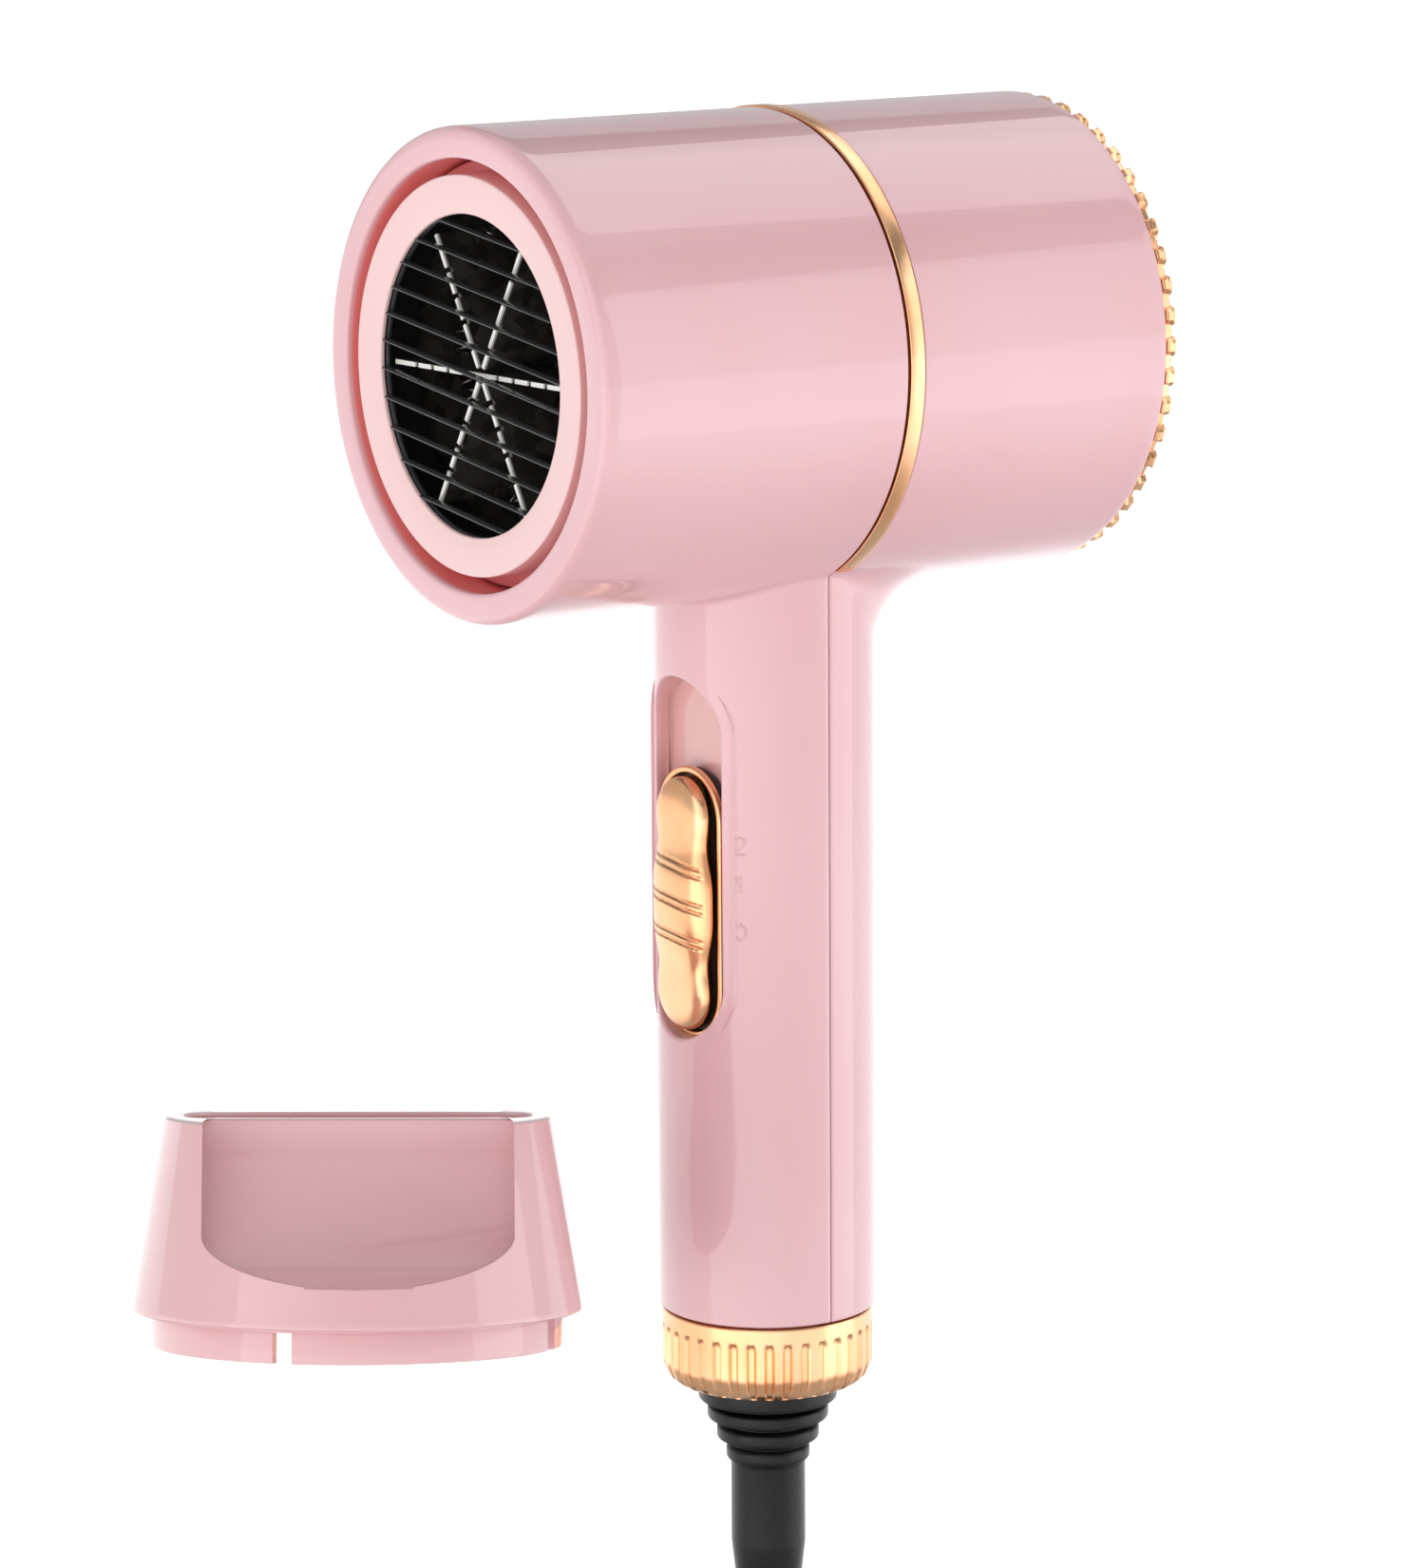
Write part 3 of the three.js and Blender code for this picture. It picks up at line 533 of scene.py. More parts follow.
def mica_sheet():
    """Pressed mica: flaky faces painted near-black as painted shade inside the heater, and pale cut
    edges in the mica's own colour.
    """
    finish = Finish("mica", {"Coat Weight": 0.3, "Coat Roughness": 0.25})
    cells = finish.node("TexVoronoi", sockets={"Vector": finish.place(), "Scale": 420}, output=1)
    flake = finish.node("SeparateColor", sockets={0: cells})
    y = finish.axes()[1]
    edge = 1 - (y + 0.0523).rise(0.0001, 0.0006)
    # painted shade: the faces are near-black for the shade inside the barrel; pale is the plates' own
    # colour, kept on the front edges
    face = finish.mix(flake, (0.016, 0.014, 0.012, 1), (0.050, 0.043, 0.034, 1))
    finish.feed("Base Color", finish.mix(edge, face, (0.86, 0.84, 0.78, 1)))
    finish.feed("Roughness", 0.30 + 0.25 * flake)
    return finish.bump(flake, 0.00004).material


def green_board():
    """Solder mask over copper tracks: a brick pattern of slightly raised, paler lanes."""
    finish = Finish("green_board", {"Coat Weight": 0.4, "Coat Roughness": 0.15})
    tracks = finish.node("TexBrick", sockets={"Vector": finish.place(), "Scale": 90}, output=1)
    finish.feed("Base Color", finish.mix(tracks, (0.03, 0.11, 0.05, 1), (0.07, 0.22, 0.10, 1)))
    finish.feed("Roughness", 0.35 + 0.1 * tracks)
    return finish.bump(1 - tracks, 0.00003).material


GOLD = gold_plate()
BLACK_ENAMEL = dark_plastic("black_enamel", 0.050, 0.12, 700, 0.00001)
BLACK_PLASTIC = dark_plastic("black_plastic", 0.010, 0.30, 900, 0.00003)
BLACK_RUBBER = dark_plastic("black_rubber", 0.005, 0.24, 1300, 0.00003, 0.3)
BLACK_NYLON = dark_plastic("black_nylon", 0.020, 0.40, 600, 0.00004)
WHITE_PLASTIC = light_plastic("white_plastic", (0.72, 0.70, 0.64, 1), (0.62, 0.60, 0.53, 1), 0.4, 0.1)
BLUE_LEAD = light_plastic("blue_lead", (0.04, 0.10, 0.32, 1), (0.03, 0.07, 0.25, 1), 0.35, 0.4)
MICA = mica_sheet()
NICHROME = bright_metal("nichrome", (0.42, 0.39, 0.36, 1), (0.30, 0.25, 0.24, 1), 0.28, (1, 8, 1))
STEEL = bright_metal("bright_steel", (0.66, 0.67, 0.68, 1), (0.56, 0.56, 0.55, 1), 0.22, (1, 12, 1))
GREEN_BOARD = green_board()
print("gold, black and metal finishes ready")

# %% [markdown]
# ## The lead
#
# A lead is a fixed length of cable, so its shape is a path of that length: out of
# the boot, down, then folded into a hank of four and a half turns with a band
# round its waist, and out at the foot to the plug. A simulated cable would not end
# as a neat hank. A path that is worked out keeps the runs about a diameter apart. The
# runs lie in three layers, and each turn moves over as its run goes up.

# %% Route of the lead
CORD_R = 3.5
FOLD_R = 21.0
PITCH = 7.0
HANK_TOP = -182.0
HANK_FOOT = -299.5
WAIST = 0.17
TAIL_END = HANK_FOOT - 40.0
LEAD = [
    [0, 0, -110.3], [0, 0, -116], [0, 0, -121], [-0.9, -0.8, -127], [-3, -2.7, -133],
    [-5.8, -4.9, -139], [-8.8, -6.4, -145], [-11.4, -6.9, -149.5], [-14.6, -7, -156],
    [-17.4, -7, -163], [-19.6, -7, -170], [-20.8, -7, -176], [-21, -7, HANK_TOP],
]
# Each turn starts at a radius and a depth, and its upward run shifts to the next
# turn's between two shares of its height.
TURNS = [
    (21, -7, 21, 0, 0.6, 1.0),
    (21, 0, 21, 7, 0.4, 0.8),
    (21, 7, 28, 7, 0.15, 0.6),
    (28, 7, 28, 0, 0.0, 0.4),
]
RUN_STEPS = 30
FOLD_STEPS = 22
middle = (HANK_TOP + HANK_FOOT) / 2
half_run = (HANK_TOP - HANK_FOOT) / 2


def run_side(radius, height):
    """How far out a run lies: wide at the folds, drawn in at the band."""
    share = smooth(0, 1, np.abs(height - middle) / half_run)
    return FOLD_R * (WAIST + (1 - WAIST) * share) + radius - FOLD_R


def run_down(radius, depth):
    """A run at one depth, from the top fold to the foot, drawn in at the waist."""
    height = np.linspace(HANK_TOP, HANK_FOOT, RUN_STEPS)
    return stack(-run_side(radius, height), depth, height)


def fold(radius, depth, height, side):
    """Half a circle from one side to the other, round the foot (-1) or the top (1)."""
    angle = np.linspace(0, pi, FOLD_STEPS)[1:-1]
    return stack(side * radius * np.cos(angle), depth, height + side * radius * np.sin(angle))


def turn_of_hank(radius, depth, next_radius, next_depth, start, end):
    """Down the left, round the foot, up the right while moving over, round the top."""
    height = np.linspace(HANK_FOOT, HANK_TOP, RUN_STEPS)
    moved = smooth(start, end, np.linspace(0, 1, RUN_STEPS))
    spread = radius + (next_radius - radius) * moved
    up = stack(run_side(spread, height), depth + (next_depth - depth) * moved, height)
    foot = fold(radius, depth, HANK_FOOT, -1)
    top = fold(next_radius, next_depth, HANK_TOP, 1)
    return np.vstack([run_down(radius, depth), foot, up, top])


hank = [turn_of_hank(*turn_data) for turn_data in TURNS]
last_run = run_down(28, 0)
tail = stack(-28.0, 0.0, np.linspace(HANK_FOOT, TAIL_END, 9))
route = np.vstack([bent_path(LEAD, 4)[:-1], *hank, last_run[:-1], tail])


# %% [markdown]
# ### The cable itself
#
# A curve with a round bevel is the plainest way to give a path a thickness, and
# Blender measures its length from the same points. Its jacket is soft black PVC.


# %% Cable
def cable(name, points, radius):
    """A curve through the points with a circle of the radius as its section."""
    line = bpy.data.curves.new(name, "CURVE")
    line.dimensions = "3D"
    line.bevel_depth = radius * MM
    line.bevel_resolution = 3
    line.use_fill_caps = True
    spline = line.splines.new("POLY")
    spline.points.add(len(points) - 1)
    rows = np.hstack([points * MM, np.ones((len(points), 1))])
    spline.points.foreach_set("co", rows.reshape(-1))
    spline.use_smooth = True
    made = bpy.data.objects.new(name, line)
    bpy.context.scene.collection.objects.link(made)
    return made


mains_lead = cable("mains_lead", route, CORD_R)
mains_lead.data.materials.append(BLACK_RUBBER)
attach(mains_lead, "dryer")
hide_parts("cord_lead", "cord_hank", "cord_tail")

# %% [markdown]
# ### The band, the plug and its pins
#
# The band is a strip pulled tight round the bundle: its inside is the shape that
# an elastic takes round six circles. The plug is a flat two-pin one: rounded
# sections that widen from the cable to the face, with ribs for the fingers.


# %% Band round the hank
def taut_loop(centres, radius, steps=8):
    """The line a band takes round equal circles whose centres go anticlockwise."""
    points = np.array(centres, float)
    edge = np.roll(points, -1, axis=0) - points
    outward = np.arctan2(-edge[:, 0], edge[:, 1])
    before = np.roll(outward, 1)
    sweep = (outward - before) % (2 * pi)
    angle = before[:, None] + sweep[:, None] * np.linspace(0, 1, steps)
    arcs = points[:, None] + radius * stack(np.cos(angle), np.sin(angle))
    return arcs.reshape(-1, 2)


def rounded_block(low, high, ease):
    """A box with rounded upright edges, stacked from rounded squares, softened at its rims."""
    low, high = np.array(low, float), np.array(high, float)
    centre, half = (low + high) / 2, (high - low) / 2
    angle = np.linspace(0, 2 * pi, 48, endpoint=False)
    corner = stack(np.sign(np.cos(angle) + 1e-9), np.sign(np.sin(angle) + 1e-9))
    bend = np.linspace(0, pi / 2, 4)
    up = np.concatenate([-np.sin(bend[::-1]), np.sin(bend)])
    out = np.concatenate([np.cos(bend[::-1]), np.cos(bend)])
    spoke = stack(np.cos(angle), np.sin(angle))
    flat = corner * (half[:2] - ease) + ease * out[:, None, None] * spoke + centre[:2]
    height = centre[2] + np.sign(up) * (half[2] - ease) + ease * up
    return stack(flat[..., 0], flat[..., 1], height[:, None])


def hank_band():
    """A flat strip with eased edges, carried round the bundle, with a clasp on it."""
    low, high = box_mm("cord_tie")
    inner = run_side(FOLD_R, middle)
    outer = inner + PITCH
    centres = [(-inner, -PITCH), (inner, -PITCH), (outer, 0), (outer, PITCH)]
    centres += [(-outer, PITCH), (-outer, 0)]
    section = [[0.15, low[2]], [1.25, low[2]], [1.25, high[2]], [0.15, high[2]]]
    profile = eased(section, 0.35, 3, closed=True)
    loops = np.array([taut_loop(centres, CORD_R + out) for out in profile[:, 0]])
    rows = stack(loops[..., 0], loops[..., 1], profile[:, 1:])
    skin = Skin().grid(np.concatenate([rows, rows[:1]]), closed=True)
    clasp_low = [-4.5, outer + 0.1, low[2] + 0.6]
    clasp_high = [4.5, high[1] - 0.1, high[2] - 0.6]
    return skin.tube(rounded_block(clasp_low, clasp_high, 0.6)).mesh("cord_band")


cord_band = put("cord_band", hank_band(), BLACK_PLASTIC, "dryer", ["cord_tie"])


# %% Plug
PLUG_X = -28.0


def superellipse(wide, deep, power, count=64):
    """A closed curve |x/wide|^p + |y/deep|^p = 1: round at 2, boxier above."""
    angle = np.linspace(0, 2 * pi, count, endpoint=False)
    across = wide * np.sign(np.cos(angle)) * np.abs(np.cos(angle)) ** (2 / power)
    return stack(across, deep * np.sign(np.sin(angle)) * np.abs(np.sin(angle)) ** (2 / power))


def plug_body():
    """Sections that widen from the boot to the face; the sides carry finger ribs."""
    low, high = box_mm("plug_body")
    share = np.concatenate([[0, 0, 0.02, 0.05], np.linspace(0.08, 0.95, 44), [0.98, 0.995, 1, 1]])
    swell = np.concatenate([[0.05, 0.86, 0.95], np.ones(46), [0.98, 0.93, 0.05]])
    wide = (8 + 9.3 * smooth(0.05, 0.62, share)) * swell
    grip = 0.35 * np.sin(share * 60) * smooth(0.30, 0.36, share) * smooth(0.80, 0.74, share)
    deep = (6.3 + 0.4 * smooth(0, 0.4, share) + 0.3 * np.minimum(grip, 0)) * swell
    power = 2.4 + 1.4 * smooth(0.1, 0.6, share)
    height = high[2] - share * (high[2] - low[2])
    rows = [superellipse(w + g, d, p) for w, g, d, p in zip(wide, grip, deep, power)]
    points = np.array(rows)
    placed = stack(PLUG_X + points[..., 0], points[..., 1], height[:, None])
    return Skin().tube(placed).mesh("plug_shell")


def plug_boot():
    """A short taper with three rings, turned about the cable."""
    low, high = box_mm("plug_boot")
    share = np.linspace(0, 1, 40)
    ends = smooth(0.05, 0.15, share) * smooth(1, 0.9, share)
    ring = np.maximum(np.sin(share * 3 * 2 * pi), 0) ** 0.5 * ends
    radius = 4.45 + 1.3 * share + 0.45 * ring
    height = high[2] - share * (high[2] - low[2])
    angle = np.linspace(0, 2 * pi, 40, endpoint=False)
    points = around_handle(radius[:, None], height[:, None], angle[None, :])
    return Skin().tube(points + np.array([PLUG_X, 0, 0])).mesh("plug_relief")


def plug_pin(node):
    """A straight pin with a domed tip and an insulating sleeve nearest the plug."""
    low, high = box_mm(node)
    middle_x = (low[0] + high[0]) / 2
    sleeve = low[2] + 10
    outline = [[0.02, low[2]], [1.1, low[2] + 0.15], [1.75, low[2] + 0.8], [1.92, low[2] + 1.8],
               [1.92, sleeve], [2.0, sleeve + 0.1], [2.0, high[2] - 0.1], [0.02, high[2]]]
    points = turned(outline, around_handle, 32) + np.array([middle_x, 0, 0])
    return Skin().tube(points).mesh(node + "_round")


def pin_metal():
    """Nickel-plated brass below the sleeve and black nylon on it."""
    finish = Finish("plug_pin", {})
    height = finish.axes()[2]
    sleeve = height.rise(-0.3956, -0.3954)
    streak = finish.noise(1500, 2, finish.stretched((1, 1, 0.1)))
    metal = finish.mix(streak, (0.70, 0.69, 0.66, 1), (0.60, 0.59, 0.57, 1))
    finish.feed("Base Color", finish.mix(sleeve, metal, (0.015, 0.015, 0.016, 1)))
    finish.feed("Metallic", 1 - sleeve)
    finish.feed("Roughness", 0.22 + 0.1 * streak + 0.2 * sleeve)
    return finish.bump(streak, 0.00001).material


PIN_METAL = pin_metal()
plug_pieces = [
    put("plug_shell", plug_body(), BLACK_PLASTIC, "dryer", ["plug_body"]),
    put("plug_relief", plug_boot(), BLACK_RUBBER, "dryer", ["plug_boot"]),
]
for node in ("plug_pin_1", "plug_pin_2"):
    plug_pieces.append(put(node + "_round", plug_pin(node), PIN_METAL, "dryer", [node]))

# %% [markdown]

# %% [markdown]
# ## The two housings
#
# The parting plane cuts both cylinders along their axes, so each half is one
# skin: half the handle, half the barrel, and a blend between them. The blend is
# where a ball would roll in the corner between the two cylinders: a small ball in
# front, a bigger one behind. Boolean cuts would give the same outside, but ragged
# faces, and a glossy surface shows every one of them in its reflections. So the
# openings are left out of the grid and their edges are rows of points.

# %% Housing sizes
BARREL_FRONT = FRONT_LOW[1]
BARREL_REAR = BARREL_HIGH[1]
HANDLE_R = 17.2
HANDLE_FOOT = FRONT_LOW[2]
WALL = 2.2
LIP_R = 32.6
LIP_DEPTH = 9.0
PARTING = 0.06
EASE = 0.25
FRONT_BALL = 1.0
REAR_BALL = 12.0
BAND_REAR = 3.2
REBATE_R = 36.1
BAND_GAP = radians(29.85)
RECESS_HALF_WIDTH = 8.65
RECESS_TOP = 45.4
RECESS_FOOT = -11.9
RECESS_FLOOR = -11.8
RECESS_MID = (RECESS_TOP + RECESS_FOOT) / 2
RECESS_HALF_LENGTH = (RECESS_TOP - RECESS_FOOT) / 2
SLOT_MID = 16.45
SCREW_LEVELS = (40.5, -36.0)
near_edge = np.array([0, 0.05, 0.12, EASE + 0.02, 0.6])


def corner_ball(angle):
    """The ball's radius: small round the front half, growing over the rear half."""
    return FRONT_BALL + (REAR_BALL - FRONT_BALL) * smooth(0, 0.8, np.sin(angle))


def corner_blend(angle, share):
    """From the handle (share 0) to the barrel (share 1), turning round the ball's middle."""
    ball = corner_ball(angle)
    reach = HANDLE_R + ball
    x = reach * np.cos(angle)
    drop = np.sqrt((BARREL_R + ball) ** 2 - x**2)
    centre = stack(x, reach * np.sin(angle), BARREL_Z - drop)
    to_handle = stack(-np.cos(angle), -np.sin(angle), 0)
    to_barrel = stack(-x / (BARREL_R + ball), 0, drop / (BARREL_R + ball))
    between = np.arccos((to_handle * to_barrel).sum(axis=-1))[None, :, None]
    part = share[:, None, None]
    turned_to = np.sin((1 - part) * between) * to_handle + np.sin(part * between) * to_barrel
    direction = turned_to / np.sin(between)
    return centre[None] + ball[None, :, None] * direction, -direction


def ease_parting(points, normals):
    """Rounds the edge at the parting plane: a quarter circle in depth over its distance."""
    away = np.clip(np.abs(points[..., 1]) - PARTING, 0, EASE)
    depth = EASE - np.sqrt(EASE**2 - (EASE - away) ** 2)
    return points - normals * depth[..., None]


def barrel_skin(along, angle):
    """Points of the barrel, eased where they near the parting plane."""
    points = around_barrel(BARREL_R, along, angle)
    normals = stack(np.sin(angle), 0 * along, -np.cos(angle))
    return ease_parting(points, normals)


def handle_skin(height, angle):
    """A cylinder of the handle's radius; its foot and parting edge turn in by a quarter circle."""
    points = around_handle(HANDLE_R, height, angle)
    normals = stack(np.cos(angle), np.sin(angle), 0 * height)
    foot = np.clip(height - HANDLE_FOOT, 0, EASE)
    depth = EASE - np.sqrt(EASE**2 - (EASE - foot) ** 2)
    return ease_parting(points, normals) - normals * depth[..., None]


def blend_foot(angle):
    """The height at which the blend leaves the handle."""
    ball = corner_ball(angle)
    return BARREL_Z - np.sqrt((BARREL_R + ball) ** 2 - ((HANDLE_R + ball) * np.cos(angle)) ** 2)


def touch_on_barrel(angle):
    """The blend's upper edge, as a y and an angle round the barrel."""
    ball = corner_ball(angle)
    reach = HANDLE_R + ball
    return reach * np.sin(angle), np.arcsin(reach * np.cos(angle) / (BARREL_R + ball))


# %% [markdown]
# ### Front housing
#
# Angles run from the parting line on one side, past the front, to the parting
# line on the other. They bunch up at both ends, where the moulding's edge is
# rounded. The recess of the switch is a stadium: its edge rolls over, its wall
# goes straight back, and its floor holds the slot of the switch lever. The
# barrel's front turns in to a lip, which is the outer wall of the nozzle groove.


# %% Front housing
def with_close_ends(low, high, count, gap):
    """Evenly spaced values with extra ones close to both ends."""
    even = np.linspace(low, high, count)
    extra = near_edge * gap
    return np.unique(np.concatenate([even, low + extra, high - extra]).round(9))


def barrel_rows(edge_y, edge_angle, far_y, far_angle, steps=30):
    """Rows from the parting edge to the far rim, close together at the edge."""
    shares = np.concatenate([near_edge / 54, np.linspace(0.03, 1, steps)])[:, None]
    along = edge_y + (far_y - edge_y) * shares
    angle = edge_angle + (far_angle - edge_angle) * shares
    return along, angle


def lip_outline():
    """From the outer edge over the rounded rim and down the lip's bore."""
    roll = np.linspace(0, pi / 2, 7)[1:]
    outer = stack(BARREL_R - 1.5 + 1.5 * np.cos(roll), BARREL_FRONT + 1.5 - 1.5 * np.sin(roll))
    inner_roll = np.linspace(0, pi / 2, 5)
    inner = stack(LIP_R + 0.6 - 0.6 * np.sin(inner_roll), BARREL_FRONT + 0.6 - 0.6 * np.cos(inner_roll))
    return np.vstack([outer, inner, [[LIP_R, BARREL_FRONT + LIP_DEPTH]]])


def recess(skin, outline):
    """The rolled edge, the wall and the floor of the switch recess."""
    rows = []
    for grow, depth in ((0.6, 0), (0.4, 0.03), (0.18, 0.14), (0.04, 0.34), (0, 0.6)):
        curve = stadium(RECESS_HALF_WIDTH + grow, RECESS_HALF_LENGTH + grow, RECESS_MID, *outline)
        surface = -np.sqrt(HANDLE_R**2 - curve[:, 0] ** 2)
        rows.append(stack(curve[:, 0], surface + depth, curve[:, 1]))
    edge = rows[-1]
    for share in (0.5, 0.9):
        depth = edge[:, 1] + (RECESS_FLOOR - 0.4 - edge[:, 1]) * share
        rows.append(stack(edge[:, 0], depth, edge[:, 2]))
    for inset, depth in ((0.05, -0.25), (0.2, -0.06), (0.45, 0)):
        curve = stadium(RECESS_HALF_WIDTH - inset, RECESS_HALF_LENGTH - inset, RECESS_MID, *outline)
        rows.append(stack(curve[:, 0], RECESS_FLOOR + depth, curve[:, 1]))
    slot = stadium(1.8, 10, SLOT_MID, *outline)
    floor_edge = stack(rows[-1][:, 0], rows[-1][:, 2])
    floor = rays(floor_edge, slot, np.linspace(0.1, 1, 8))
    rows.extend(stack(floor[..., 0], RECESS_FLOOR, floor[..., 1]))
    rows.append(stack(slot[:, 0], RECESS_FLOOR + 2.4, slot[:, 1]))
    return skin.grid(np.array(rows), closed=True)


def front_housing():
    """Three grids that share edges: the blend, the half handle and the barrel with its lip."""
    skin = Skin()
    angle = with_close_ends(-pi, 0, 61, 1 / HANDLE_R)
    shares = np.linspace(0, 1, 9)
    points, normals = corner_blend(angle, shares)
    points[..., 1] = np.minimum(points[..., 1], -PARTING)
    skin.grid(ease_parting(points, normals))

    # handle: rays from the recess to the half handle's own outline
    count, sides = len(angle), 44
    top = stack(angle, blend_foot(angle))[::-1]
    down = np.linspace(1, 0, sides + 1)[1:-1]
    foot = stack(angle, HANDLE_FOOT)
    at_start = blend_foot(np.array([-pi]))[0]
    left = stack(-pi, HANDLE_FOOT + down * (at_start - HANDLE_FOOT))
    right = stack(0, left[::-1, 1])
    outer = np.vstack([top, left, foot, right])
    opening = stadium(RECESS_HALF_WIDTH + 0.6, RECESS_HALF_LENGTH + 0.6, RECESS_MID, count, sides - 1)
    inner = stack(-np.arccos(opening[:, 0] / HANDLE_R), opening[:, 1])
    field = rays(inner, outer, np.concatenate([np.linspace(0, 0.9, 17), [0.95, 0.98, 0.99, 0.995, 1]]))
    handle = handle_skin(field[..., 1], field[..., 0])
    handle[..., 1] = np.minimum(handle[..., 1], -PARTING)
    skin.grid(handle, closed=True)
    recess(skin, (count, sides - 1))

    # barrel: rows from the parting edge and the blend to the rolled rim
    touch_y, touch_angle = touch_on_barrel(angle)
    rest = np.linspace(touch_angle[-1], 2 * pi - touch_angle[-1], 150)[1:-1]
    edge_y = np.minimum(np.concatenate([touch_y, 0 * rest]), -PARTING)
    edge_angle = np.concatenate([touch_angle, rest])
    spread = radians(60)
    far_rest = pi + (rest - pi) * (pi - spread) / (pi - touch_angle[-1])
    far_angle = np.concatenate([(angle + pi / 2) / (pi / 2) * spread, far_rest])
    along, around = barrel_rows(edge_y, edge_angle, BARREL_FRONT + 1.5, far_angle)
    skin.grid(barrel_skin(along, around), closed=True)
    lip = lip_outline()
    rim = np.vstack([[[BARREL_R, BARREL_FRONT + 1.5]], lip])
    skin.grid(around_barrel(rim[:, :1], rim[:, 1:], far_angle[None, :]), closed=True)
    return skin.mesh("front_shell", 0.01)


put("front_shell", front_housing(), PINK_GLOSS, "dryer", ["front_housing"], wall=WALL)

# %% [markdown]
# ### Rear housing
#
# The rear half is the same skin with two differences. Its edge steps down all
# round the barrel, to make the seat of the gold band, except beside the handle.
# And two screws come in through counterbores at the back of the handle: each is
# a ring of rays from the hole to a block of the handle's grid.


# %% Rear housing
def levels_of_handle():
    """Heights on the rear handle's side columns, with the screw blocks' ends among them."""
    upper, lower = SCREW_LEVELS
    top = blend_foot(np.array([radians(65)]))[0]
    ends = [HANDLE_FOOT, lower - 9, lower + 9, upper - 9, top]
    parts = [np.linspace(a, b, n, endpoint=False) for a, b, n in zip(ends, ends[1:], (8, 12, 22, 12))]
    close = HANDLE_FOOT + near_edge
    return np.unique(np.concatenate([close, *parts, [top]]).round(9)), ends


def screw_hole(skin, level, bottom, right, top, left):
    """Rays from a counterbore to the block round it, then the bore's wall and seat."""
    outer = np.vstack([bottom[:-1], right[:-1], top[::-1][:-1], left[::-1][:-1]])
    flat = stack(HANDLE_R * np.cos(outer[:, 0]), outer[:, 1] - level)
    bearing = np.arctan2(flat[:, 1], flat[:, 0])
    edge = stack(np.arccos(3.25 * np.cos(bearing) / HANDLE_R), level + 3.25 * np.sin(bearing))
    field = rays(edge, outer, np.linspace(0, 1, 8) ** 1.4)
    skin.grid(handle_skin(field[..., 1], field[..., 0]), closed=True)
    rows = []
    for radius, sink in ((3.25, 0), (3.07, 0.07), (3.0, 0.25)):
        x = radius * np.cos(bearing)
        rows.append(stack(x, np.sqrt(HANDLE_R**2 - x * x) - sink, level + radius * np.sin(bearing)))
    for radius, depth in ((3.0, 13.5), (3.0, 11.2), (2.8, 11.0), (1.8, 11.0), (1.8, 5.0)):
        rows.append(stack(radius * np.cos(bearing), depth, level + radius * np.sin(bearing)))
    skin.grid(np.array(rows), closed=True)


def rear_handle(skin, angle):
    """Plain columns at both sides, and between them blocks, two of which hold a screw."""
    levels, ends = levels_of_handle()
    top_side = ends[-1]
    base = ends[3]

    def height_at(column, level):
        """Levels above the last block's foot stretch to meet the blend."""
        stretch = (blend_foot(column) - base) / (top_side - base)
        return np.where(level > base, base + (level - base) * stretch, level)

    for low, high in ((0, radians(65)), (radians(115), pi)):
        columns = angle[(angle >= low - 1e-6) & (angle <= high + 1e-6)]
        points = handle_skin(height_at(columns[None, :], levels[:, None]), columns[None, :])
        points[..., 1] = np.maximum(points[..., 1], PARTING)
        skin.grid(points)
    columns = angle[(angle >= radians(65) - 1e-6) & (angle <= radians(115) + 1e-6)]
    for low, high in zip(ends, ends[1:]):
        rows = levels[(levels >= low - 1e-6) & (levels <= high + 1e-6)]
        middle_level = (low + high) / 2
        near = [level for level in SCREW_LEVELS if abs(level - middle_level) < 9.5 and high - low < 30]
        block = height_at(columns[None, :], rows[:, None])
        if near:
            sides = [stack(np.full(len(rows), columns[k]), block[:, k]) for k in (-1, 0)]
            foot, head = stack(columns, block[0]), stack(columns, block[-1])
            screw_hole(skin, near[0], foot, sides[0], head, sides[1])
        else:
            skin.grid(handle_skin(block, columns[None, :]))


